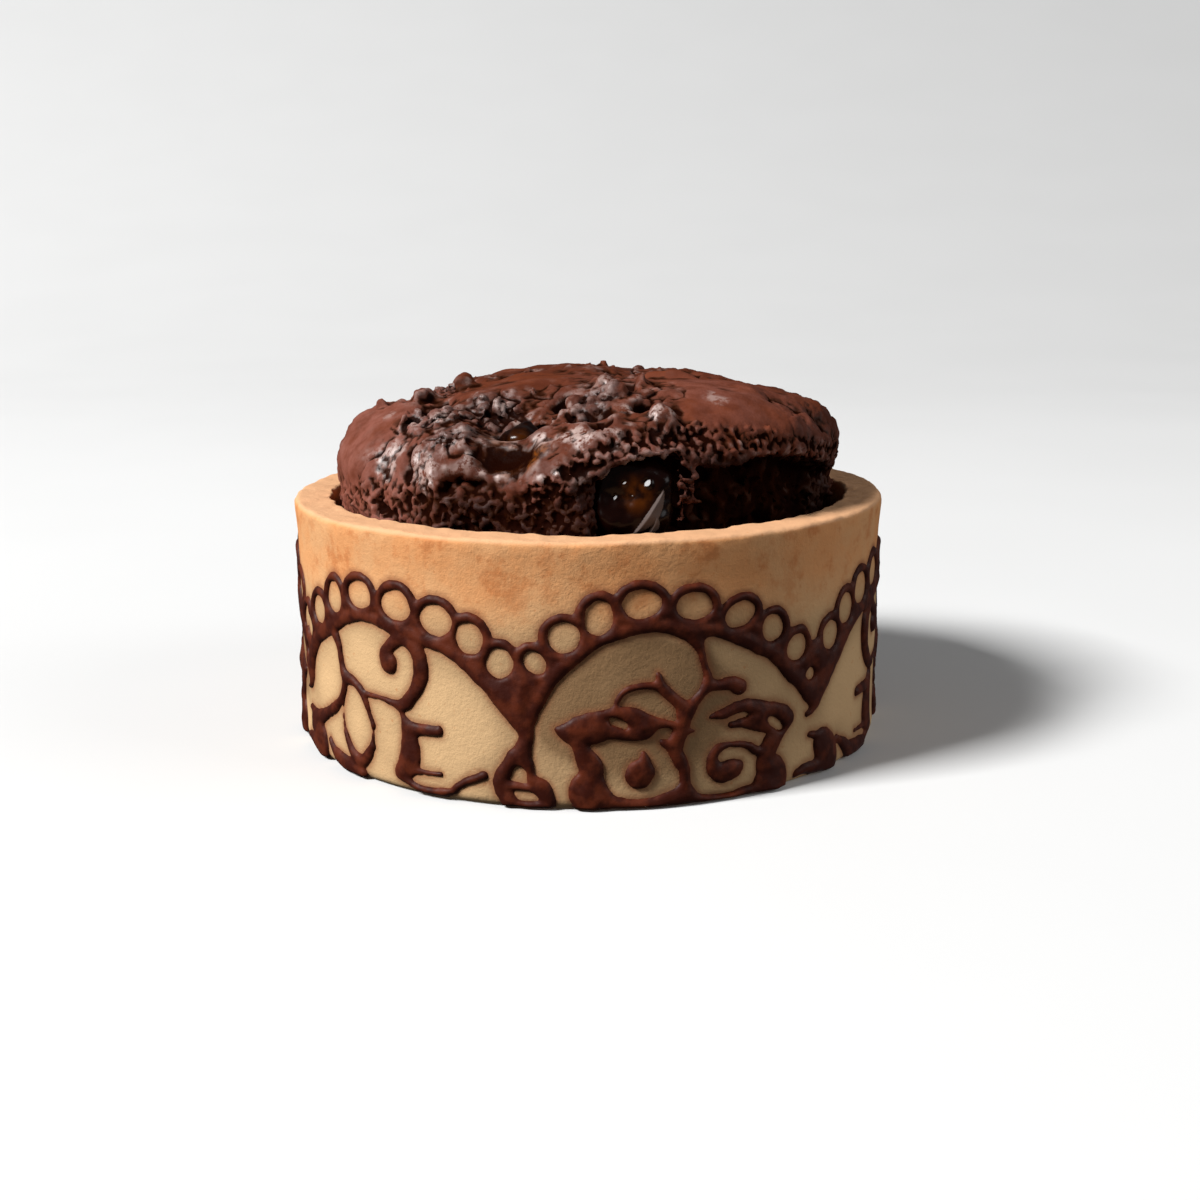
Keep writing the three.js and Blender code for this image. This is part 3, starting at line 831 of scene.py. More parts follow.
SCROLL = Motif(
    strokes=(
        ((-17.3, 9.4, 1.8), (-14.4, 13.9, 1.8), (-10.2, 16.3, 1.7), (-6, 18.3, 1.6), (-2.4, 18.9, 1.4),
         (2, 18.2, 1.9), (5.8, 17.5, 1.6), (8.5, 16.8, 1.7), (11.4, 15.1, 2.2), (14.5, 12.2, 2.6),
         (16.9, 8.8, 1.7)),
        ((2.8, 17.6, 1.8), (4.4, 16.4, 1.8), (5, 14.5, 2), (4.7, 12.7, 1.9), (3.6, 11, 1.7),
         (2.2, 9.8, 1.4), (0.9, 9.8, 0.7), (-1, 10.1, 0.5), (-3.2, 10, 0.5)),
        ((2.6, 17.4, 1.6), (1, 16.3, 1.5), (0.2, 15.2, 1.9), (0.5, 14.3, 2.5)),
        ((-9.2, 16, 1.6), (-8.3, 14.6, 1), (-7.8, 12.6, 0.9), (-7.2, 11.4, 1.3), (-5.4, 11, 1.2),
         (-4.2, 10.2, 1.1), (-3.4, 9.2, 0.9), (-2.9, 8, 0.6), (-2.3, 6.7, 0.45)),
        ((-7.3, 11, 0.9), (-7.5, 9.9, 0.7), (-8.2, 8.5, 0.9), (-9.8, 7.1, 1.3), (-12, 5.9, 1.4),
         (-14.4, 4.7, 2), (-16.2, 4.1, 2)),
        ((-7.3, 4.8, 0.5), (-6.8, 3.6, 0.9), (-6, 2.5, 1.3), (-4.9, 2, 1.5), (-4, 2.3, 1.5),
         (-3.2, 3.2, 1.3), (-2.5, 4.3, 0.8)),
        ((-7.3, 10.3, 0.5), (-7.8, 7.6, 0.25), (-7.5, 4.6, 0.35), (-7.2, 3.9, 0.5)),
        ((-2.4, 6.6, 0.3), (-2.4, 5.3, 0.3), (-2.6, 4.4, 0.6)),
        ((2.1, 8.9, 0.5), (2.7, 7.8, 1.3), (3.1, 6.6, 2), (3.2, 5, 2.6), (3.1, 4, 2.8), (2.7, 3, 2.6),
         (2, 2.3, 1.9)),
        ((3, 7.4, 1.4), (5, 7.5, 1.3), (7, 7.6, 1.2)),
        ((3.4, 2.7, 0.9), (5.4, 2.8, 0.5), (7.2, 2.9, 0.45)),
        ((2.2, 1.8, 1), (4, 1, 0.8), (6.6, 0.8, 0.8), (8.4, 1.2, 0.8), (9.4, 2, 0.8), (10.7, 2.7, 0.9),
         (12.2, 3.4, 1)),
        ((-16.4, 3.3, 1.9), (-14.9, 2.6, 1.5), (-14.4, 1.3, 1)),
    ),
    rings=(
        Cell((-16.6, 15), (1.2, 1.2)), Cell((-13, 17.8), (1.8, 1.6), 20), Cell((-8.8, 20), (1.5, 1.8), -12),
        Cell((-3.9, 21.15), (2, 1.55)), Cell((1.85, 20.75), (2, 1.75)), Cell((7, 19.75), (1.95, 1.7), -10),
        Cell((10.95, 18.25), (1.55, 1.75), 15), Cell((14.2, 15.8), (1.5, 1.6)),
    ),
)

KNOT = Motif(
    strokes=(
        ((-0.2, 13.6, 3.6), (-0.5, 11.4, 3.4), (-0.3, 9.6, 1.9), (0, 8, 1.6), (-0.3, 6.8, 1.8),
         (-0.8, 5.4, 2.8)),
        ((-1.6, 5, 1.6), (-2.7, 3.4, 1.8), (-2.6, 2, 1.7), (-2, 1, 1.8)),
        ((0.3, 5, 1), (0.5, 3.6, 1.1), (1.5, 2.4, 2), (2.5, 1.2, 1.2)),
        ((-2.2, 2.6, 1.2), (0, 2.5, 0.9), (1.3, 2.6, 1.4)),
        ((-2, 0.8, 1), (0, 0.5, 0.7), (2.4, 0.8, 1)),
    ),
    slits=(Cell((-0.75, 4), (0.7, 0.75)), Cell((0, 1.4), (1, 0.45))),
)

TASSEL = Motif(
    strokes=(
        ((0, 13.8, 4), (-0.4, 11.8, 3.4), (-0.3, 10.2, 2.3), (-0.2, 9, 1.3), (-0.5, 8, 0.9),
         (-1.2, 7.6, 0.7)),
        ((-0.8, 5.2, 0.6), (0.8, 4.7, 1.4), (1.8, 3.5, 3.6), (2.5, 2.3, 4), (3.3, 1.4, 3)),
        ((2, 1.4, 2), (0, 1.3, 1.5), (-1.4, 1.4, 1.1), (-2.8, 1.2, 0.8)),
        ((5.4, 3, 0.5), (6.5, 2, 1.1), (8, 1.3, 1.8), (10.6, 1, 1.8), (12.6, 0.8, 1.2)),
    ),
    slits=(Cell((-0.9, 12.1), (0.65, 0.7)),),
)

FRONT_PITCH = 55.5
REAR_PITCH = 64.5

SCALLOPS = (
    Scallop(FRONT_PITCH, SCROLL, 1, TASSEL),
    Scallop(FRONT_PITCH, BLOOM, 1, KNOT),
    Scallop(FRONT_PITCH, SCROLL, -1, TASSEL),
    Scallop(REAR_PITCH, BLOOM, 1, KNOT),
    Scallop(REAR_PITCH, SCROLL, 1, TASSEL),
    Scallop(REAR_PITCH, BLOOM, -1, KNOT),
)


@dataclass
class Lace:
    """The raised cocoa lace: six scallops drawn on a flat strip, given relief and laid round the wall."""

    cup: CookieCup
    first_cusp: float = -66.5
    relief: float = 0.44
    swollen: float = 0.2
    rounding: float = 0.95
    root: float = 0.3
    fringe: float = 0.24
    join: float = 0.15
    ring_line: float = 0.95
    web: float = 0.75
    web_inwards: float = 0.7
    crowding: float = 1.7
    wobble: float = 0.13
    lowest: float = 0.35
    highest: float = 25.2
    step: float = 0.2
    mesh_size: float = 0.24
    kept_share: float = 0.62
    cut_beyond: float = 1.3
    weld: float = 0.02
    # Heights, edge softness and strength of the painted shade low inside the bloom scallops; the two heights
    # also bound the cocoa spread.
    spread_and_shade_from: float = 23.5
    spread_and_shade_full: float = 17.0
    shade_edge: float = 2.0
    shade_share: float = 0.78
    crowd_share: float = 0.4
    most_spread: float = 0.9
    filled: list[Line | Cell] = field(default_factory=list)
    opened: list[Cell] = field(default_factory=list)
    shaded_cells: list[Cell] = field(default_factory=list)

    def length(self) -> float:
        """Returns the length of the strip, once round the wall."""
        return 2 * math.pi * self.cup.radius

    def draw(self) -> None:
        """Draws all lines and openings of the lace on the flat strip, from the first cusp round."""
        cusp_angle = 0.0
        for scallop in SCALLOPS:
            stretch = scallop.pitch / FRONT_PITCH * scallop.mirror
            cusp = self.cup.radius * math.radians(cusp_angle)
            middle = self.cup.radius * math.radians(cusp_angle + scallop.pitch / 2)
            self.lay(scallop.motif, middle, stretch)
            self.lay(scallop.cusp, cusp, 1.0)
            cusp_angle += scallop.pitch

    def lay(self, motif: Motif, start: float, stretch: float) -> None:
        """Draws one motif on the strip.

        Args:
            motif: the drawing.
            start: where its own zero lies along the strip.
            stretch: how it is stretched along the strip, or mirrored below 0.
        """
        for stroke in motif.strokes:
            self.filled.append(self.brush(stroke, start, stretch))
        rings = [ring.laid(start, stretch) for ring in motif.rings]
        self.filled.extend(ring.grown(self.ring_line) for ring in rings)
        for one, other in zip(rings, rings[1:]):
            self.filled.append(self.web_between(one, other))
        self.opened.extend(rings)
        self.opened.extend(slit.laid(start, stretch) for slit in motif.slits)
        self.shaded_cells.extend(painted_shade.laid(start, stretch) for painted_shade in motif.shade_cells)

    def web_between(self, one: Cell, other: Cell) -> Cell:
        """Returns the small patch that closes the corner between two rings and the arch below them."""
        first, second = np.array(one.at), np.array(other.at)
        run = second - first
        inwards = np.array([run[1], -run[0]]) / np.linalg.norm(run)
        if inwards[1] > 0:
            inwards = -inwards
        at = (first + second) / 2 + inwards * self.web_inwards
        return Cell((float(at[0]), float(at[1])), (self.web, self.web))

    def brush(self, stroke: Stroke, start: float, stretch: float) -> Line:
        """Draws one stroke as a smooth line through its places.

        Args:
            stroke: the stroke to draw.
            start: where its own zero lies along the strip.
            stretch: how it is stretched along the strip.

        Returns:
            The drawn line.
        """
        knots = np.array(stroke, float) * [stretch, 1, 1] + [start, 0, 0]
        padded = np.vstack([knots[:1], knots, knots[-1:]])
        share = np.linspace(0, 1, 24, endpoint=False)[:, None]
        stretches = []
        for before, begin, end, after in zip(padded, padded[1:], padded[2:], padded[3:]):
            leave = (end - before) / 2
            arrive = (after - begin) / 2
            cubic = 2 * begin - 2 * end + leave + arrive
            square = 3 * end - 3 * begin - 2 * leave - arrive
            stretches.append(((cubic * share + square) * share + leave) * share + begin)
        dense = np.vstack([*stretches, knots[-1:]])
        travelled = np.concatenate([[0], np.cumsum(np.linalg.norm(np.diff(dense[:, :2], axis=0), axis=1))])
        at = np.linspace(0, travelled[-1], max(4, round(travelled[-1] / self.step)) + 1)
        even = np.column_stack([np.interp(at, travelled, column) for column in dense.T])
        return Line(even[:, :2], even[:, 2] / 2)

    def on_wall(self, flat: np.ndarray, stand: np.ndarray) -> np.ndarray:
        """Lays places of the flat strip round the cup's wall, standing out by some distance."""
        angle = math.radians(self.first_cusp) + flat[:, 0] / self.cup.radius
        out = self.cup.radius + stand
        return np.column_stack([out * np.sin(angle), -out * np.cos(angle), flat[:, 1]])

    def cover(self, shapes: list[Line | Cell], flat: np.ndarray, reach: float) -> np.ndarray:
        """Returns how much some shapes cover each place of the strip: 1 on an edge, more inside.

        Args:
            shapes: the lines and cells to add up.
            flat: places on the strip, one row each.
            reach: how softly a shape's cover falls off.

        Returns:
            One value for each place.
        """
        covered = np.zeros(len(flat))
        margin = 8 * reach
        for shape in shapes:
            low, high = shape.box()
            for shift in (-self.length(), 0.0, self.length()):
                moved = flat - [shift, 0]
                close = np.flatnonzero(np.all((moved > low - margin) & (moved < high + margin), axis=1))
                if len(close) > 0:
                    covered[close] += np.exp(-shape.gap(moved[close]) / reach)
        return covered

    def depth_at(self, flat: np.ndarray) -> np.ndarray:
        """Returns how deep inside the lace's outline each place of the strip lies, below 0 outside it."""
        places = self.on_wall(flat, np.zeros(len(flat)))
        drift = np.column_stack([soft_noise(places, 2.6, 1.3), soft_noise(places, 2.6, 8.3)])
        flat = flat + self.wobble * drift
        filled = self.cover(self.filled, flat, self.join) + 1e-9
        opened = self.cover(self.opened, flat, self.join)
        uneven = 0.1 * soft_noise(places, 0.9, 2.9) + 0.07 * soft_noise(places, 1.8, 7.1)
        return uneven - self.join * np.log(1 / filled + opened)

    def stain_and_shade_at(self, points: np.ndarray) -> tuple[np.ndarray, np.ndarray]:
        """Finds how much cocoa has gone into the dough, and where the dough is darkened as painted shade.

        Args:
            points: places on the cup.

        Returns:
            The brown edge along the lines, and the faint wide spread where lines lie close together, with
            painted shade added low inside the bloom scallops.
        """
        near = np.zeros(len(points))
        wide = np.zeros(len(points))
        around = from_axis(points)
        wall = np.flatnonzero((around > self.cup.radius - 1.0) & (points[:, 2] < self.highest))
        places = points[wall]
        angle = np.arctan2(places[:, 0], -places[:, 1]) - math.radians(self.first_cusp)
        flat = np.column_stack([np.mod(angle, 2 * math.pi) * self.cup.radius, places[:, 2]])
        outside = np.maximum(-self.depth_at(flat), 0)
        reach = 0.4 + 0.2 * soft_noise(places, 2.5, 4.4)
        near[wall] = np.exp(-((outside / reach) ** 2))
        crowd = self.cover(self.filled, flat, self.crowding)
        # Painted shade: the shade cells darken the dough low inside the bloom scallops, added to the cocoa
        # spread where lines crowd.
        low = ease(self.spread_and_shade_from, self.spread_and_shade_full, places[:, 2])
        cloud = soft_noise(places, 3.0, 2.7)
        painted_shade = ease(0.4, 3.0, self.cover(self.shaded_cells, flat, self.shade_edge) + 0.5 * cloud)
        crowded = ease(0.75, 2.4, crowd + 0.3 * cloud)
        spread = low * (self.crowd_share * crowded + self.shade_share * painted_shade)
        wide[wall] = np.minimum(self.most_spread, spread)
        return near, wide

    def build(self) -> bpy.types.Object:
        """Models the lace: a fine strip cut to the drawing, raised, bent round the wall and thickened."""
        bpy.ops.object.select_all(action="DESELECT")
        tall = self.highest - self.lowest
        columns, rows = round(self.length() / self.mesh_size), round(tall / self.mesh_size)
        bpy.ops.mesh.primitive_grid_add(x_subdivisions=columns, y_subdivisions=rows, size=MM)
        piece = bpy.context.object
        share = points_of(piece)[:, :2] + 0.5
        flat = share * [self.length(), tall] + [0, self.lowest]
        depth = self.depth_at(flat)
        self.raise_relief(piece, flat, depth)
        self.cut_out(piece, depth)
        hidden = piece.vertex_groups.new(name="hidden")
        thick = self.root * MM
        finish_with(piece, "SOLIDIFY", thickness=thick, offset=-1.0, shell_vertex_group=hidden.name)
        finish_with(piece, "DECIMATE", ratio=self.kept_share, vertex_group=hidden.name)
        return settle(piece, "cocoa_lace")

    def raise_relief(self, piece: bpy.types.Object, flat: np.ndarray, depth: np.ndarray) -> None:
        """Gives the strip rounded relief, sinks what lies outside it and bends it round the wall."""
        wall = self.on_wall(flat, np.zeros(len(flat)))
        share = np.clip(depth / self.rounding, 0, 1)
        round_edge = np.sqrt(1 - (1 - share) ** 2)
        relief = self.relief * (1 + 0.18 * soft_noise(wall, 3.0, 6.6)) * round_edge
        relief = relief + self.swollen * ease(0.6, 1.8, depth) * (1 + 0.8 * soft_noise(wall, 1.6, 3.1))
        sunk = self.root * np.clip(-depth / self.fringe, 0, 1)
        move_points(piece, self.on_wall(flat, self.cup.swell(wall) + relief - sunk))

    def cut_out(self, piece: bpy.types.Object, depth: np.ndarray) -> None:
        """Deletes what lies well outside the drawing and joins the two ends of the strip."""
        take_up(piece)
        piece.data.polygons.foreach_set("select", np.zeros(len(piece.data.polygons), bool))
        piece.data.edges.foreach_set("select", np.zeros(len(piece.data.edges), bool))
        piece.data.vertices.foreach_set("select", depth < -self.cut_beyond * self.fringe)
        bpy.ops.object.mode_set(mode="EDIT")
        bpy.ops.mesh.select_mode(type="VERT")
        bpy.ops.mesh.delete(type="VERT")
        bpy.ops.mesh.select_all(action="SELECT")
        bpy.ops.mesh.remove_doubles(threshold=self.weld * MM)
        bpy.ops.object.mode_set(mode="OBJECT")


# Brownie


@dataclass(frozen=True)
class Scatter:
    """Lumps strewn over the skin: how many, their sizes and how far they stand out of it."""

    count: int
    smallest: float
    largest: float
    stand: float


@dataclass
class Brownie:
    """The craggy domed brownie: smooth crust, lumps and hollows, a torn front side under a ledge."""

    radius: float = 29.7
    shoulder: float = 33.0
    dome: float = 9.4
    roundness: float = 3.0
    lean_height: float = 2.0
    lean_square: float = 2.0
    lean_towards: float = 55.0
    crag: float = 0.85
    crag_span: float = 5.5
    fine_share: float = 0.6
    fine_span: float = 2.6
    detailed_from: float = 24.5
    floor: float = 4.0
    rough_voxel: float = 0.42
    voxel: float = 0.24
    most_faces: int = 190000
    cave: float = 3.3
    seed: int = 41
    chip_seed: int = 7
    chips: int = 7
    big_lumps: Scatter = Scatter(60, 0.45, 1.1, 0.1)
    small_lumps: Scatter = Scatter(170, 0.3, 0.6, 0.3)
    stray_lumps: Scatter = Scatter(90, 0.3, 0.8, 0.0)
    side_crumbs: Scatter = Scatter(1600, 0.22, 0.5, 0.25)
    band_crumbs: Scatter = Scatter(700, 0.24, 0.46, 0.45)
    edge_beads: int = 170
    edge_bead: float = 0.6
    strand_beads: int = 26
    strand_bead: float = 0.5
    least_bead: float = 0.25

    forms: tuple[tuple[Point, float, float], ...] = (
        ((-6.5, -19), 6, -2.4),
        ((20, 5), 9, -1.2),
        ((-18, 3), 8.5, -1.4),
        ((14, -20), 9, 0.6),
        ((-18, -18), 8, -1.2),
        ((-7, 12), 9, 0.5),
    )

    edge: tuple[Point, ...] = (
        (-16, 32.6), (-9.8, 34.1), (-6.3, 35.1), (-2.7, 36.6), (2.5, 37.9), (7.9, 38.6), (16.5, 39),
        (25.9, 39), (36.6, 38.4), (49.2, 37.2), (71.6, 35.4), (92, 33.5),
    )

    roof: tuple[Point, ...] = (
        (-16, 30.5), (-5.7, 32), (0.4, 34), (4.9, 35.4), (12.7, 36.5), (19.7, 36.3), (23.7, 35.3),
        (27.6, 34.8), (34.5, 35.4), (45, 35.6), (55.5, 34.6), (75, 32.5), (92, 30),
    )

    grain_top: tuple[Point, ...] = ((-80, 29.6), (-60, 31.6), (-42, 32.6))

    torn_sector: Sector = (-17, -9, 78, 96)
    cave_sector: Sector = (-2, 6, 70, 92)
    crumb_sector: Sector = (-46, -26, -6, 6)
    grain_sector: Sector = (-84, -72, -36, -26)

    lumps: tuple[tuple[Place, Place], ...] = (
        ((-15, -1.2, 41.6), (1.5, 1.4, 1.1)),
        ((-18.9, -5.9, 40.2), (2.0, 1.8, 1.4)),
        ((2.7, -19.2, 41), (2.5, 2.3, 2)),
        ((6.4, -19.6, 41.2), (1.6, 1.5, 1.3)),
        ((5.8, -13.9, 42), (1.7, 1.6, 1.2)),
        ((2.2, -12.4, 42), (1.7, 1.5, 1.2)),
        ((-1.2, -18.6, 40.6), (1.5, 1.4, 1.2)),
        ((-10.1, -14.3, 40), (0.9, 0.8, 0.8)),
        ((-9.1, -14.8, 39.4), (0.8, 0.8, 0.7)),
        ((-8.2, -15.3, 38.8), (0.8, 0.8, 0.7)),
        ((-7.5, -16.1, 38.2), (0.9, 0.9, 0.8)),
        ((7.8, -24.1, 39.9), (2.3, 1.9, 1.4)),
        ((3.1, -25.3, 39.6), (1.7, 1.5, 1.2)),
        ((10.3, -4.6, 41.2), (4.4, 4.0, 1.6)),
        ((-2.6, -21.4, 39.6), (1.7, 1.6, 1.1)),
        ((-19.8, -12.9, 38), (1.7, 1.5, 1.1)),
        ((-16.9, -15.6, 38.2), (1.6, 1.4, 1)),
        ((-14.7, -15.6, 38.8), (1.2, 1.1, 0.9)),
        ((-5, -26.6, 36.8), (1.5, 0.9, 0.9)),
        ((-0.4, -27.2, 37.8), (1.6, 1, 0.9)),
    )

    dabs: tuple[Dab, ...] = (
        Dab(((-25.6, -5, 35.6),), 3.2, 1.0),
        Dab(((-19.2, -20.1, 36.4), (-19.5, -21.6, 33.5)), 0.6, -1.1),
        Dab(((-15.1, -25.8, 33), (-13.7, -26.3, 33.6), (-12.1, -26.7, 33.1)), 0.8, -2),
        Dab(((-17.5, -10.2, 39.5),), 1.5, -1.7),
        Dab(((-9.7, -16.9, 39.1),), 2.2, -1.1),
        Dab(((-8.5, -20.5, 37.5),), 4.2, -1.6),
        Dab(((-9.4, -26, 36),), 2.9, -1.7),
        Dab(((-6.4, -26.4, 36.4),), 1.8, -0.8),
        Dab(((-13.3, -24.5, 37), (-12.6, -25.7, 35.7), (-11.5, -26.5, 34.6), (-10.3, -26.9, 34.1),
             (-8.9, -27.4, 34.4)), 0.7, 0.9),
        Dab(((-2.5, -15.6, 40.7),), 1.5, -1.8),
        Dab(((-1.4, -23.2, 40.1), (0.4, -23.6, 40.2), (1.6, -23.8, 40.2)), 1.1, -1.9),
        Dab(((4.1, -15.6, 42.2), (4.3, -13.5, 42.4)), 1.0, -1.6),
        Dab(((6.5, -22.6, 41.2), (5.6, -22.9, 41.1)), 0.9, -2),
        Dab(((3.6, -4.3, 42.2),), 1.2, -1.3),
        Dab(((1.2, -26.4, 39.5),), 1, -1.3),
        Dab(((-22.7, -19.4, 29.9),), 0.7, -0.9),
        Dab(((9.5, -23.2, 40.8),), 0.9, -1.1),
    )

    smooth_places: tuple[tuple[Point, float], ...] = (
        ((-8, -4), 9),
        ((16, -19), 7.5),
        ((14, -6), 10),
        ((-25.5, -10), 6),
        ((-6, 16), 9),
        ((22, 10), 8),
    )

    lumpy_places: tuple[tuple[Point, float], ...] = (
        ((-17.5, -15), 3.6),
        ((-10.5, -14.5), 3.6),
        ((1, -21), 3.0),
        ((-14.5, -21), 3.6),
        ((5, 22), 5),
        ((-19, 9), 4.5),
    )

    # Spots of pale film that are painted highlights on the lumps and ridges.
    film_and_sheen_places: tuple[tuple[Place, float], ...] = (
        ((-21.5, -18.2, 34.8), 2.7),
        ((-17.5, -23.4, 34.3), 2.4),
        ((-19.3, -15.5, 38.9), 1.3),
        ((-16.3, -16, 39.1), 1.4),
        ((-14.7, -15.6, 39.4), 0.9),
        ((-9.5, -14.5, 40), 1.5),
        ((-7.5, -17.3, 38.6), 0.9),
        ((-5, -25.6, 37.8), 1.3),
        ((-0.8, -27.6, 38.6), 1.8),
        ((-2.5, -27, 38.3), 1.2),
        ((-12.4, -25.1, 36.2), 0.7),
        ((-11.3, -26.4, 34.6), 0.6),
        ((-9.7, -27.1, 34), 0.5),
        ((-4.9, -29.4, 34.2), 0.6),
        ((-3.2, -29.4, 35), 0.6),
        ((-14.3, -2.3, 41.9), 0.9),
        ((-22.5, -10, 38.6), 1.0),
        ((2, -13.4, 43), 0.8),
        ((8.6, -25, 40.9), 1.0),
        ((7.5, -25.4, 40.7), 1.3),
        ((4, -23.5, 40.6), 1.0),
        ((13.9, -19.8, 41.7), 1.7),
        ((-6, 14, 42.5), 2.0),
        ((17, 12, 40.5), 1.6),
    )

    strands: tuple[tuple[Place, ...], ...] = (
        ((9.7, -26.9, 35.4), (9.8, -27.6, 32.5), (9.6, -28, 29.4)),
        ((11.1, -26.2, 35.4), (10.9, -26.8, 33), (10.4, -27.2, 31)),
    )

    pleated: tuple[tuple[Place, float], ...] = (((11.8, -26.4, 37.2), 2.6), ((15, -25, 37.4), 1.8))

    wet_places: tuple[tuple[Place, float], ...] = (
        ((-8.5, -25.5, 35.8), 3.0),
        ((-9.2, -21, 37.2), 3.2),
        ((-5.5, -26.8, 36.2), 2.2),
        ((-7, -20, 38), 2.6),
    )

    def build(self, chunks: tuple["ChocolateChunk", ...]) -> bpy.types.Object:
        """Models the brownie.

        Args:
            chunks: the chocolate chunks that it leaves room for.

        Returns:
            The finished brownie.
        """
        piece = self.domed_block()
        self.add_lumps(piece)
        finish_with(piece, "REMESH", mode="VOXEL", voxel_size=self.rough_voxel * MM)
        self.press_forms(piece)
        self.leave_room(piece, chunks)
        self.add_crumbs(piece, chunks)
        finish_with(piece, "REMESH", mode="VOXEL", voxel_size=self.voxel * MM)
        finish_with(piece, "SMOOTH", factor=0.4, iterations=1)
        self.roughen(piece)
        self.stand_on_floor(piece)
        finish_with(piece, "DECIMATE", ratio=min(1.0, self.most_faces / len(piece.data.polygons) / 2))
        self.lay_crust(piece)
        return settle(piece, "brownie_crust")

    def lattice_noise(self, points: np.ndarray) -> np.ndarray:
        """Returns the noise of the coarse crags, from -1 to 1, which is the same on every run."""
        cell = np.floor(points)
        part = points - cell
        part = part * part * (3 - 2 * part)
        total = np.zeros(len(points))
        for corner in np.ndindex(2, 2, 2):
            weight = np.prod(np.where(np.array(corner) == 1, part, 1 - part), axis=1)
            wave = np.sin((cell + corner) @ np.array([127.1, 311.7, 74.7])) * 43758.5453
            total += weight * (2 * (wave - np.floor(wave)) - 1)
        return total

    def lift_at(self, points: np.ndarray) -> np.ndarray:
        """Returns how much the soft rises and hollows lift the top at each place."""
        lift = np.zeros(len(points))
        for at, span, height in self.forms:
            lift += height * np.exp(-(((points[:, :2] - at) ** 2).sum(1)) / span**2)
        return lift

    def domed_block(self) -> bpy.types.Object:
        """Starts from a ball and gives it the dome, the shoulder and the side of the brownie."""
        bpy.ops.object.select_all(action="DESELECT")
        bpy.ops.mesh.primitive_uv_sphere_add(segments=200, ring_count=150, radius=self.radius * MM)
        piece = bpy.context.object
        ball = points_of(piece) / self.radius
        polar = np.arccos(np.clip(ball[:, 2], -1, 1)) / (math.pi / 2)
        angle = np.arctan2(ball[:, 0], -ball[:, 1])
        lean = np.cos(angle - math.radians(self.lean_towards))
        shoulder = self.shoulder + self.lean_height * lean
        spread = 1 - (1 - np.minimum(polar, 1)) ** 2
        square = self.roundness + self.lean_square * np.maximum(lean, 0)
        rise = np.sqrt(np.maximum(1 - spread**square, 0))
        bottom = self.detailed_from - 4
        down = np.clip((polar - 1) / 0.5, 0, 1)
        inwards = np.clip((polar - 1.5) / 0.5, 0, 1)
        out = self.radius * spread * (1 - inwards)
        points = np.column_stack([out * np.sin(angle), -out * np.cos(angle), np.zeros(len(out))])
        lift = self.lift_at(points) * np.sqrt(rise)
        top = shoulder + (self.shoulder + self.dome - shoulder) * rise + lift
        points[:, 2] = top + down * (bottom - shoulder)
        middle = np.array([0, 0, self.shoulder - self.dome])
        away = points - middle
        away = away / np.linalg.norm(away, axis=1)[:, None]
        crags = self.lattice_noise(points / self.crag_span)
        crags = crags + self.fine_share * self.lattice_noise(points / self.fine_span)
        crags = crags * (1 - 0.5 * self.smooth_share(points))
        points += away * (self.crag * crags * ease(bottom, bottom + 3, points[:, 2]))[:, None]
        move_points(piece, points)
        return piece

    def add_lumps(self, piece: bpy.types.Object) -> None:
        """Sets broken lumps into the top and joins them to the block."""
        draw = random.Random(self.seed)
        chip_draw = np.random.default_rng(self.chip_seed)
        made = []
        for at, half in self.lumps:
            turn = (draw.uniform(-0.4, 0.4), draw.uniform(-0.4, 0.4), draw.uniform(0, 6))
            bpy.ops.mesh.primitive_ico_sphere_add(
                subdivisions=4, radius=MM, location=Vector(at) * MM, rotation=turn, scale=half
            )
            lump = bpy.context.object
            bpy.ops.object.transform_apply(location=True, rotation=True, scale=True)
            points = points_of(lump)
            points += normals_of(lump) * (0.4 * soft_noise(points, 1.4, 3.3))[:, None]
            move_points(lump, chip(points - at, chip_draw, self.chips) + at)
            made.append(lump)
        take_up(piece)
        for lump in made:
            lump.select_set(True)
        bpy.ops.object.join()

    def add_crumbs(self, piece: bpy.types.Object, chunks: tuple["ChocolateChunk", ...]) -> None:
        """Scatters lumps over the lumpy crust and crumbs over the torn sides, the ledge and the strands."""
        draw = np.random.default_rng(self.seed)
        points = points_of(piece)
        away = normals_of(piece)
        high = ease(30, 33, points[:, 2])
        torn = np.maximum(self.open_share(points), 0.6 * self.grain_share(points))
        torn = torn * ease(27, 28.5, points[:, 2])
        wet = ease(0.2, 0.6, self.spots(points, self.wet_places))
        lumpy = self.lumpy_share(points) * high * (1 - torn) * (1 - wet)
        plain = high * (1 - torn) * (1 - self.smooth_share(points)) * (1 - lumpy) * (1 - wet)
        side = torn * (1 - 0.75 * self.cave_share(points))
        band = self.ledge_share(points) * ease(-2, 10, self.around(points))
        plain = plain * ease(27, 23, from_axis(points)) * ease(18, 8, points[:, 0])
        kinds = (
            (lumpy, self.big_lumps), (lumpy, self.small_lumps), (plain, self.stray_lumps),
            (side, self.side_crumbs), (band, self.band_crumbs),
        )
        places, radii = [], []
        for weight, kind in kinds:
            chosen = draw.choice(len(points), kind.count, p=weight / weight.sum())
            size = kind.smallest + (kind.largest - kind.smallest) * draw.random(kind.count) ** 2
            places.append(points[chosen] + away[chosen] * (size * kind.stand)[:, None])
            radii.append(size)
        lines = [(self.edge_line(), self.edge_beads, self.edge_bead)]
        lines.extend((np.array(strand), self.strand_beads, self.strand_bead) for strand in self.strands)
        for line, count, largest in lines:
            at = np.linspace(0, len(line) - 1, count)
            beads = np.column_stack([np.interp(at, np.arange(len(line)), axis) for axis in line.T])
            places.append(beads + draw.normal(0, 0.6 * largest, (count, 3)))
            radii.append(draw.uniform(self.least_bead, largest, count))
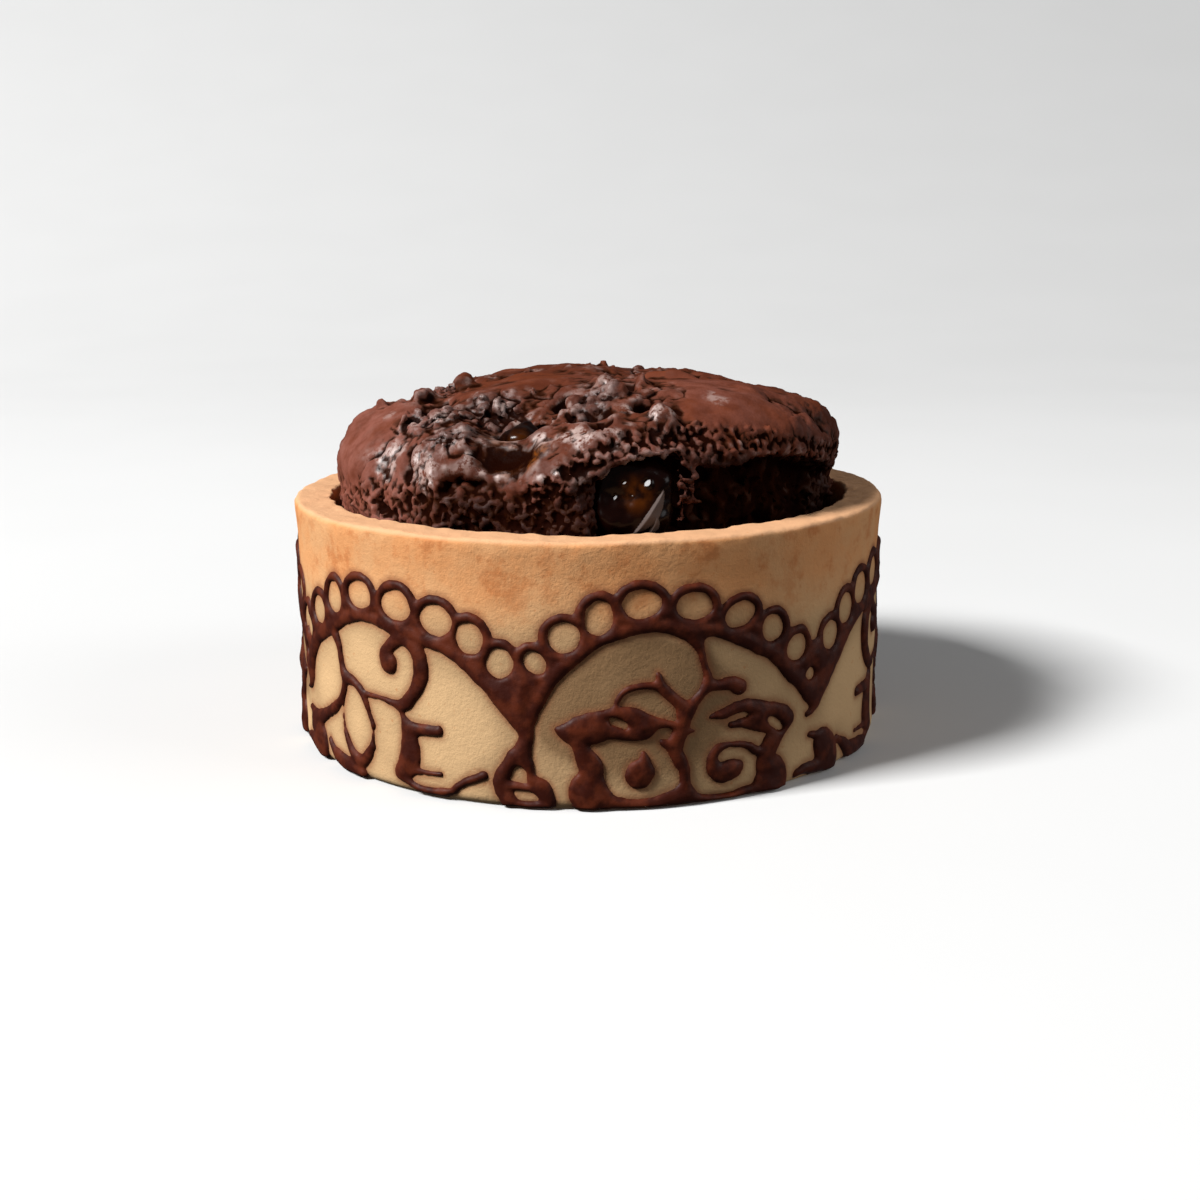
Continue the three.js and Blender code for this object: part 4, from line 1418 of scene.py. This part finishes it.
        crumbs = self.crumb_mesh(np.vstack(places), np.concatenate(radii), chunks, draw)
        take_up(piece)
        crumbs.select_set(True)
        bpy.ops.object.join()

    def crumb_mesh(self, places: np.ndarray, radii: np.ndarray, chunks: tuple["ChocolateChunk", ...],
                   draw: np.random.Generator) -> bpy.types.Object:
        """Copies one small lump to many places, each turned and squashed its own way.

        Args:
            places: the middles of the lumps.
            radii: their sizes.
            chunks: chocolate chunks that stay free of lumps.
            draw: the seeded random draws.

        Returns:
            One object that holds all the lumps.
        """
        free = from_axis(places) + radii < self.radius + 0.9
        for chunk in chunks:
            reach = np.array(chunk.half) + chunk.gap + radii[:, None]
            free &= (((places - chunk.at) / reach) ** 2).sum(1) > 1.0
        places, radii = places[free], radii[free]
        bpy.ops.object.select_all(action="DESELECT")
        bpy.ops.mesh.primitive_ico_sphere_add(subdivisions=3, radius=MM)
        piece = bpy.context.object
        lump = points_of(piece)
        faces = np.array([face.vertices[:] for face in piece.data.polygons])
        rough = 1 + 0.35 * soft_noise(lump, 0.9, 3.3) + 0.15 * soft_noise(lump, 0.4, 5.1)
        lump = chip(lump * rough[:, None], draw, self.chips)
        turns = np.linalg.qr(draw.normal(size=(len(places), 3, 3)))[0]
        squash = draw.uniform(0.7, 1.15, (len(places), 1, 3))
        copies = (lump[None] * squash) @ turns * radii[:, None, None] + places[:, None]
        starts = np.arange(len(places))[:, None, None] * len(lump)
        rows = (copies.reshape(-1, 3) * MM).tolist()
        corners = (faces + starts).reshape(-1, 3).tolist()
        piece.data.clear_geometry()
        piece.data.from_pydata(rows, [], corners)
        return piece

    def around(self, points: np.ndarray) -> np.ndarray:
        """Returns each place's angle from the front, in degrees."""
        return np.degrees(np.arctan2(points[:, 0], -points[:, 1]))

    def level_at(self, points: np.ndarray, line: tuple[Point, ...]) -> np.ndarray:
        """Returns the level of a line round the side, given as angles and levels, at each place's angle."""
        return np.interp(self.around(points), *np.array(line).T)

    def sector_share(self, points: np.ndarray, sector: Sector) -> np.ndarray:
        """Returns 1 inside a sector of the side and 0 outside it.

        Args:
            points: places, one row each.
            sector: the angles where it starts, where it is full, where it fades and where it ends.

        Returns:
            One value for each place.
        """
        start, full, fading, end = sector
        angle = self.around(points)
        return ease(start, full, angle) * (1 - ease(fading, end, angle))

    def torn_share(self, points: np.ndarray) -> np.ndarray:
        """Returns 1 on the torn side under the ledge and 0 on the crust."""
        out = ease(self.radius - 6, self.radius - 4, from_axis(points))
        above = points[:, 2] - self.level_at(points, self.edge)
        return self.sector_share(points, self.torn_sector) * out * (1 - ease(-0.4, 0.5, above))

    def cave_share(self, points: np.ndarray) -> np.ndarray:
        """Returns 1 deep under the roof of the ledge and 0 above it."""
        out = ease(self.radius - 7, self.radius - 5, from_axis(points))
        above = points[:, 2] - self.level_at(points, self.roof)
        return self.sector_share(points, self.cave_sector) * out * (1 - ease(-0.8, 0.3, above))

    def crumb_share(self, points: np.ndarray) -> np.ndarray:
        """Returns 1 on the open crumb low at the front left and 0 elsewhere."""
        level = points[:, 2] + 0.06 * self.around(points) + 1.2
        return self.sector_share(points, self.crumb_sector) * (1 - ease(30.8, 33, level))

    def open_share(self, points: np.ndarray) -> np.ndarray:
        """Returns 1 wherever the crust is gone and 0 on the crust."""
        return np.maximum(self.torn_share(points), self.crumb_share(points))

    def grain_share(self, points: np.ndarray) -> np.ndarray:
        """Returns 1 on the grainy crust low at the left and 0 elsewhere."""
        level = self.level_at(points, self.grain_top) + 0.8 * soft_noise(points, 3.0, 2.9)
        return self.sector_share(points, self.grain_sector) * ease(1.2, -0.6, points[:, 2] - level)

    def ledge_share(self, points: np.ndarray) -> np.ndarray:
        """Returns 1 on the grainy band between the ledge's edge and the cave and 0 elsewhere."""
        under = self.level_at(points, self.edge) - points[:, 2]
        return np.clip(self.torn_share(points) - self.cave_share(points), 0, 1) * ease(3.6, 1.8, under)

    def patch_share(self, points: np.ndarray, places: tuple[tuple[Point, float], ...]) -> np.ndarray:
        """Returns 1 inside any of some round patches of the top and 0 away from them."""
        inside = np.zeros(len(points))
        for at, span in places:
            inside = np.maximum(inside, np.exp(-(((points[:, :2] - at) ** 2).sum(1)) / span**2))
        return ease(0.25, 0.7, inside + 0.18 * soft_noise(points, 4.0, 7.7))

    def smooth_share(self, points: np.ndarray) -> np.ndarray:
        """Returns 1 where the crust is even and 0 where it isn't."""
        return self.patch_share(points, self.smooth_places) * (1 - self.lumpy_share(points))

    def lumpy_share(self, points: np.ndarray) -> np.ndarray:
        """Returns 1 where the crust is a heap of lumps and 0 elsewhere."""
        return self.patch_share(points, self.lumpy_places)

    def press_forms(self, piece: bpy.types.Object) -> None:
        """Presses the hollows, draws up the ridges and sets the torn side back under its ledge."""
        points = points_of(piece)
        away = normals_of(piece)
        push = np.zeros(len(points))
        for dab in self.dabs:
            push += dab.push * dab.weight(points)
        push += 0.45 * np.exp(-((line_distance(points, self.edge_line()) / 0.9) ** 2))
        cave = self.cave_share(points) * (1 + 0.5 * soft_noise(points, 3.5, 2.2))
        ledge = 0.3 * self.torn_share(points)
        side = points[:, :2] / np.maximum(from_axis(points), 1e-6)[:, None]
        points += away * push[:, None]
        points[:, :2] -= side * (self.cave * cave + ledge)[:, None]
        move_points(piece, points)

    def on_side(self, angle: float, level: float) -> Place:
        """Returns the place on the brownie's side at an angle and a level."""
        out = self.radius - 0.6 - 0.16 * max(0.0, level - 34) ** 1.6
        turn = math.radians(angle)
        return (out * math.sin(turn), -out * math.cos(turn), level)

    def edge_line(self) -> np.ndarray:
        """Returns the places along the edge of the ledge."""
        return np.array([self.on_side(angle, level) for angle, level in self.edge[:-1]])

    def leave_room(self, piece: bpy.types.Object, chunks: tuple["ChocolateChunk", ...]) -> None:
        """Cuts a pocket for each chunk of chocolate."""
        for chunk in chunks:
            cutter = chunk.rounded_block(chunk.gap)
            finish_with(piece, "BOOLEAN", operation="DIFFERENCE", object=cutter, solver="MANIFOLD")
            bpy.data.objects.remove(cutter)

    def roughen(self, piece: bpy.types.Object) -> None:
        """Gives the skin its soft unevenness, thin cracks, crumb and pits."""
        points = points_of(piece)
        away = normals_of(piece)
        even = self.smooth_share(points)
        torn = np.maximum(self.open_share(points), 0.8 * self.grain_share(points))
        drift = np.column_stack([soft_noise(points, 2.8, start) for start in (5.0, 11.0, 17.0)])
        cracks = 1 - ease(0.12, 0.45, pebbles(points + 0.9 * drift, 4.6, 2.5))
        small = pebbles(points + 0.3 * drift, 1.0, 4.5) - 0.75
        waves = soft_noise(points, 4.4, 3.2) + 0.5 * soft_noise(points, 1.9, 8.2)
        ripples = soft_noise(points, 0.9, 5.7)
        pits = ease(0.12, 0.45, soft_noise(points, 1.3, 6.4))
        pits = pits + 0.8 * ease(0.15, 0.5, soft_noise(points, 2.5, 1.4))
        pits = pits * self.cave_share(points)
        lumpy = self.lumpy_share(points)
        crisp = 1 - 0.9 * even
        split = (0.3 + 0.25 * lumpy) * crisp * ease(-0.3, 0.3, soft_noise(points, 5.0, 1.6))
        pleats = self.pleats_at(points)
        crust = (0.4 - 0.22 * even) * waves - split * cracks + (0.1 + 0.12 * lumpy) * crisp * small
        crust = crust + (0.16 - 0.12 * even) * ripples + pleats
        crust = crust * (1 - 0.3 * ease(0.2, 0.6, self.spots(points, self.wet_places)))
        open_crumb = 0.3 * small + 0.2 * waves + 0.15 * ripples - 0.5 * pits + pleats
        push = (1 - torn) * crust + torn * open_crumb
        points += away * push[:, None]
        move_points(piece, points)

    def pleats_at(self, points: np.ndarray) -> np.ndarray:
        """Returns the height of the small slanted folds in the ledge at the front right."""
        close = self.spots(points, self.pleated)
        across = 0.87 * points[:, 0] + 0.5 * points[:, 2] + 0.7 * soft_noise(points, 2.0, 4.8)
        return 0.24 * close * np.sin(2 * math.pi * across / 0.95) * (0.5 + soft_noise(points, 1.6, 2.6))

    def stand_on_floor(self, piece: bpy.types.Object) -> None:
        """Cuts off the skin below the rim and carries its edge straight down to the cup's floor."""
        take_up(piece)
        bpy.ops.object.mode_set(mode="EDIT")
        bpy.ops.mesh.select_all(action="SELECT")
        level = (0, 0, self.detailed_from * MM)
        bpy.ops.mesh.bisect(plane_co=level, plane_no=(0, 0, 1), clear_inner=True, use_fill=False)
        drop = (0, 0, (self.floor - self.detailed_from) * MM)
        bpy.ops.mesh.extrude_edges_move(TRANSFORM_OT_translate={"value": drop})
        bpy.ops.mesh.edge_face_add()
        bpy.ops.mesh.select_all(action="SELECT")
        bpy.ops.mesh.normals_make_consistent(inside=False)
        bpy.ops.object.mode_set(mode="OBJECT")

    def lay_crust(self, piece: bpy.types.Object) -> None:
        """Stores where the skin is even, filmed with painted highlights, crust, dusty and painted as lit,
        wet, or deep in a crease under painted shade.
        """
        points = points_of(piece)
        torn = self.open_share(points)
        cave = self.cave_share(points)
        smooth = self.smooth_share(points)
        # Deep pressed hollows show darker crumb and get painted shade.
        deep = np.zeros(len(points))
        for dab in self.dabs:
            if dab.push < 0:
                deep = np.maximum(deep, min(1.0, -0.6 * dab.push) * dab.weight(points, 0.8))
        patches = soft_noise(points, 2.2, 8.8)
        ledge = self.ledge_share(points)
        put_layer(piece, Layer.EVEN, 0.65 + 0.35 * smooth - 0.5 * self.lumpy_share(points))
        fine = hollows_of(piece, 8, 0.12)
        wide = hollows_of(piece, 50, 0.55)
        # Painted highlight: pale film at listed spots, on the tops of lumps and on grain crests.
        film_and_sheen = self.spots(points, self.film_and_sheen_places) * (1 + 0.9 * soft_noise(points, 1.0, 3.7))
        film_and_sheen = ease(0.3, 0.8, film_and_sheen + 0.2 * patches)
        strewn = ease(14, 4, points[:, 0]) * ease(33, 35, points[:, 2]) * (1 - 0.7 * smooth)
        crests = ease(0.4, 0.1, wide) * ease(-0.3, 0.3, patches)
        crests = np.maximum(crests, ease(0.2, 0.5, soft_noise(points, 1.7, 9.9)))
        film_and_sheen = np.maximum(film_and_sheen, 0.5 * strewn * crests)
        film_and_sheen = film_and_sheen * (1 - 0.4 * smooth) * (1 - 0.3 * ease(-18, -12, points[:, 1]))
        grainy = np.maximum(ledge, 0.6 * self.grain_share(points))
        specks = grainy * ease(0.4, 0.12, wide) * ease(-0.15, 0.35, soft_noise(points, 0.9, 4.4))
        put_layer(piece, Layer.FILM, np.maximum(film_and_sheen, 0.38 * specks))
        # Painted light: the left side, where the light falls, is paler; strands, the ledge and grain crests
        # get pale painted sheen.
        back = ease(-12, 4, points[:, 1])
        left = ease(-13, -23, points[:, 0])
        front_right = np.exp(-(((points[:, :2] - (15, -16)) ** 2).sum(1)) / 9.0**2)
        near = np.min([line_distance(points, np.array(strand)) for strand in self.strands], axis=0)
        hung = np.exp(-((near / 0.7) ** 2))
        dusty_and_lit = 0.14 + 0.55 * left + 0.4 * front_right - 0.16 * back * (1 - left) + 0.5 * hung
        dusty_and_lit = dusty_and_lit + ledge * (0.5 * ease(12, 8, points[:, 0]) - 0.3 * ease(11, 14, points[:, 0]))
        dusty_and_lit = dusty_and_lit + 0.5 * grainy * ease(0.42, 0.15, wide)
        put_layer(piece, Layer.CRUST, 1 - torn - 0.8 * deep + 0.8 * ledge + hung + 0.2 * patches)
        put_layer(piece, Layer.DUSTY, dusty_and_lit + 0.2 * soft_noise(points, 4.0, 6.9))
        put_layer(piece, Layer.WET, ease(0.35, 0.75, self.spots(points, self.wet_places) + 0.25 * patches))
        # Painted shade: the cave under the ledge, creases, deep hollows and the low front crumb are
        # darkened; the strands are kept out of it.
        dark = cave * (1 - hung) * (0.78 + 0.3 * soft_noise(points, 1.6, 7.3))
        low = self.crumb_share(points) * (1 - ledge)
        low = low * (0.18 + 0.22 * ease(-15, -1, self.around(points)))
        painted_crease_shade = (0.5 + 0.2 * ledge) * (fine + wide) + low - 0.14 * smooth
        put_layer(piece, Layer.HOLLOW, np.maximum(painted_crease_shade, dark) + 0.35 * deep - 0.3 * hung)

    def spots(self, points: np.ndarray, places: tuple[tuple[Place, float], ...]) -> np.ndarray:
        """Returns 1 in the middle of any of some round spots and 0 away from them."""
        inside = np.zeros(len(points))
        for at, span in places:
            inside = np.maximum(inside, np.exp(-(((points - at) ** 2).sum(1)) / span**2))
        return inside


# Chocolate chunks

# The direction of a face at the front that throws the main light towards the viewer.
KEY_GLINT = (-0.422, -0.771, 0.477)


@dataclass
class ChocolateChunk:
    """One half melted chunk of chocolate with a few flat facets."""

    name: str
    node: str
    at: Place
    half: Place
    turn: float
    facets: tuple[tuple[Place, float], ...]
    flats: tuple[tuple[Point, Place, float], ...] = ()
    breaks: tuple[tuple[Point, Point, float], ...] = ()
    glow_middle: Point = (0, 0)
    squareness: float = 2.6
    gap: float = 0.4
    voxel: float = 0.1
    smoothing: int = 8
    waves: float = 0.45
    ripples: float = 0.14
    glow_from: float = 2.7
    glow_full: float = 0.4
    raised: float = 0.5

    def rounded_block(self, extra: float) -> bpy.types.Object:
        """Returns the chunk's plain rounded form, larger all round by some extra."""
        bpy.ops.object.select_all(action="DESELECT")
        bpy.ops.mesh.primitive_ico_sphere_add(subdivisions=5, radius=MM)
        piece = bpy.context.object
        ball = points_of(piece)
        square = (np.abs(ball) ** self.squareness).sum(1) ** (1 / self.squareness)
        move_points(piece, ball / square[:, None] * (np.array(self.half) + extra))
        piece.rotation_euler = (0, self.turn, 0)
        piece.location = Vector(self.at) * MM
        bpy.ops.object.transform_apply(location=True, rotation=True, scale=True)
        return piece

    def build(self) -> bpy.types.Object:
        """Models the chunk: a rounded form cut by flat facets, with softened edges and broken faces."""
        piece = self.rounded_block(0.0)
        bpy.ops.object.mode_set(mode="EDIT")
        for way, share in self.facets:
            direction = Vector(way).normalized()
            reach = Vector(a * b for a, b in zip(direction, self.half)).length
            cut = (Vector(self.at) + direction * reach * share) * MM
            bpy.ops.mesh.select_all(action="SELECT")
            bpy.ops.mesh.bisect(plane_co=cut, plane_no=direction, clear_outer=True, use_fill=True)
        bpy.ops.object.mode_set(mode="OBJECT")
        finish_with(piece, "REMESH", mode="VOXEL", voxel_size=self.voxel * MM)
        finish_with(piece, "SMOOTH", factor=0.5, iterations=self.smoothing)
        points = points_of(piece)
        uneven = self.waves * soft_noise(points, 2.6, 4.1) + self.ripples * soft_noise(points, 1.1, 2.2)
        points += normals_of(piece) * uneven[:, None]
        for place, way, reach in self.flats:
            self.flatten(points, place, Vector(way).normalized(), reach)
        broken = np.zeros(len(points))
        for start, end, width in self.breaks:
            broken = np.maximum(broken, self.split(points, np.array(start), np.array(end), width))
        move_points(piece, points)
        put_layer(piece, Layer.BROKEN, broken)
        # Painted light: an amber glow about one point of the chunk.
        off = (points - self.at)[:, [0, 2]] - self.glow_middle
        put_layer(piece, Layer.AMBER, ease(self.glow_from, self.glow_full, np.linalg.norm(off, axis=1)))
        return settle(piece, self.name)

    def flatten(self, points: np.ndarray, place: Point, way: Vector, reach: float) -> None:
        """Presses a small spot of the front to a flat face.

        Args:
            points: the chunk's points, which are moved.
            place: where the spot is, across and up.
            way: the direction that the flat face looks in.
            reach: the size of the spot.
        """
        aside = np.hypot(points[:, 0] - place[0], points[:, 2] - place[1])
        middle = points[np.argmin(aside + 100 * (points[:, 1] > self.at[1]))].copy()
        gap = points - middle
        close = ease(1.0, 0.6, np.linalg.norm(gap, axis=1) / reach)
        points -= np.outer(close * (gap @ np.array(way)), np.array(way))

    def split(self, points: np.ndarray, start: np.ndarray, end: np.ndarray, width: float) -> np.ndarray:
        """Raises a leaf-shaped broken face on the front.

        Args:
            points: the chunk's points, which are moved.
            start: the lower tip, across and up.
            end: the upper tip.
            width: the widest part.

        Returns:
            1 on the broken face and 0 elsewhere.
        """
        length = np.linalg.norm(end - start)
        along = (end - start) / length
        offset = points[:, [0, 2]] - start
        share = np.clip(offset @ along / length, 0, 1)
        side = offset @ np.array([along[1], -along[0]])
        span = width * np.sin(math.pi * share) ** 0.8 + 1e-6
        inside = (side > 0) & (side < span) & (points[:, 1] < self.at[1])
        slope = 1 - 0.8 * side[inside] / span[inside]
        points[inside, 1] -= self.raised * slope * ease(0, 0.3, side[inside])
        return inside.astype(float)


CHUNKS = (
    ChocolateChunk(
        name="chocolate_front", node="chocolate_chunk_front", at=(4.6, -26.6, 31.2), half=(4.1, 2.7, 4.9),
        turn=0.15, glow_middle=(0.5, 1.3), squareness=3, facets=(((-0.1, -1, 0.12), 0.86),),
        flats=(
            ((6.1, 33.7), KEY_GLINT, 0.7), ((3.8, 33.6), KEY_GLINT, 0.4),
            ((2.8, 32.1), KEY_GLINT, 0.45), ((4.6, 32.3), KEY_GLINT, 0.25),
        ),
        breaks=(((4.6, 28.4), (7.8, 33), 1.25), ((6.1, 28.4), (7.1, 30.2), 0.8)),
    ),
    ChocolateChunk(
        name="chocolate_top", node="chocolate_chunk_top", at=(-7, -19.8, 36.6), half=(3, 2.4, 2), turn=-0.3,
        facets=(
            ((0.2, -0.4, 1), 0.82), ((-1, -0.5, 0.4), 0.8), ((0.8, 0.3, 0.6), 0.8), ((-0.3, 0.8, 0.6), 0.78),
        ),
    ),
)


# Studio


@dataclass(frozen=True)
class Lamp:
    """One soft square light: its angle and lift in degrees, its distance and side, its power in watts."""

    name: str
    angle: float
    lift: float
    away: float
    size: float
    power: float


@dataclass
class Studio:
    """Pale floor, soft light and the camera."""

    lamps: tuple[Lamp, ...] = (
        Lamp("key", -64, 41, 2400, 620, 114),
        Lamp("fill", 75, 24, 2400, 1500, 22),
    )
    aim: float = 22.0
    room: Colour = (0.9, 0.92, 0.95, 1)
    room_strength: float = 0.11
    eye: Place = (0.0, -192.0, 59.4)
    pitch: float = 13.16
    yaw: float = 0.40
    roll: float = -0.34
    lens: float = 47.73
    sensor: float = 36.0
    floor_size: float = 4000.0
    floor_curve: float = 0.4
    floor_segments: int = 24

    def floor(self) -> None:
        """Lays a wide floor that curves up behind."""
        bpy.ops.object.select_all(action="DESELECT")
        bpy.ops.mesh.primitive_plane_add(size=self.floor_size * MM)
        piece = bpy.context.object
        bpy.ops.object.mode_set(mode="EDIT")
        pick(piece, "EDGE", lambda edge: all(vert.co.y > 0 for vert in edge.verts))
        half = self.floor_size / 2 * MM
        bpy.ops.mesh.extrude_region_move(TRANSFORM_OT_translate={"value": (0, 0, half)})
        pick(piece, "EDGE", lambda edge: all(v.co.y > 0.9 * half and v.co.z < 0.001 for v in edge.verts))
        curve = self.floor_curve * self.floor_size * MM
        bpy.ops.mesh.bevel(offset=curve, segments=self.floor_segments, affect="EDGES")
        bpy.ops.object.mode_set(mode="OBJECT")
        settle(piece, "pale_floor")
        piece.data.materials.append(FloorFinish().material())
        piece.visible_diffuse = False
        piece.visible_glossy = False

    def light(self, lamp: Lamp) -> None:
        """Adds one soft square light that points at the part."""
        made = bpy.data.lights.new(lamp.name, "AREA")
        made.energy = lamp.power
        made.size = lamp.size * MM
        thing = bpy.data.objects.new(lamp.name, made)
        bpy.context.scene.collection.objects.link(thing)
        turn, rise = math.radians(lamp.angle), math.radians(lamp.lift)
        way = Vector((math.sin(turn) * math.cos(rise), -math.cos(turn) * math.cos(rise), math.sin(rise)))
        thing.location = (way * lamp.away + Vector((0, 0, self.aim))) * MM
        thing.rotation_euler = way.to_track_quat("Z", "Y").to_euler()

    def lights(self) -> None:
        """Lights the part softly: a key from the left, a weak fill from the right and a dim room."""
        for lamp in self.lamps:
            self.light(lamp)
        world = bpy.data.worlds.new("soft_room")
        world.use_nodes = True
        background = world.node_tree.nodes["Background"]
        background.inputs["Color"].default_value = self.room
        background.inputs["Strength"].default_value = self.room_strength
        bpy.context.scene.world = world
        bpy.context.scene.view_settings.view_transform = "Standard"

    def camera(self) -> None:
        """Puts the camera where the photograph was taken from."""
        pitch, yaw, roll = (math.radians(a) for a in (self.pitch, self.yaw, self.roll))
        ahead = Vector((math.sin(yaw) * math.cos(pitch), math.cos(yaw) * math.cos(pitch), -math.sin(pitch)))
        right = Vector((math.cos(yaw), -math.sin(yaw), 0))
        up = right.cross(ahead)
        turned_right = math.cos(roll) * right + math.sin(roll) * up
        turned_up = math.cos(roll) * up - math.sin(roll) * right
        lens = bpy.data.cameras.new("camera")
        lens.sensor_width = self.sensor
        lens.lens = self.lens
        lens.clip_start = 0.01
        lens.clip_end = 20
        thing = bpy.data.objects.new("camera", lens)
        bpy.context.scene.collection.objects.link(thing)
        axes = Matrix((turned_right, turned_up, -ahead)).transposed().to_4x4()
        thing.matrix_world = Matrix.Translation(Vector(self.eye) * MM) @ axes
        bpy.context.scene.camera = thing


def main() -> None:
    """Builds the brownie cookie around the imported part, piece by piece."""
    logging.basicConfig(level=logging.INFO, format="%(message)s")
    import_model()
    studio = Studio()
    studio.camera()
    studio.lights()
    studio.floor()

    cup = CookieCup()
    lace = Lace(cup)
    lace.draw()
    cup_piece = cup.build(lace)
    dress(cup_piece, DoughFinish().material())
    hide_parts("cookie_shell")
    lace_piece = lace.build()
    dress(lace_piece, LaceFinish().material())
    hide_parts("cookie_shell")

    brownie_piece = Brownie().build(CHUNKS)
    dress(brownie_piece, BrownieFinish().material())
    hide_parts("brownie")
    gloss = ChocolateFinish().material()
    for chunk in CHUNKS:
        piece = chunk.build()
        dress(piece, gloss)
        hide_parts(chunk.node)


if __name__ == "__main__":
    main()
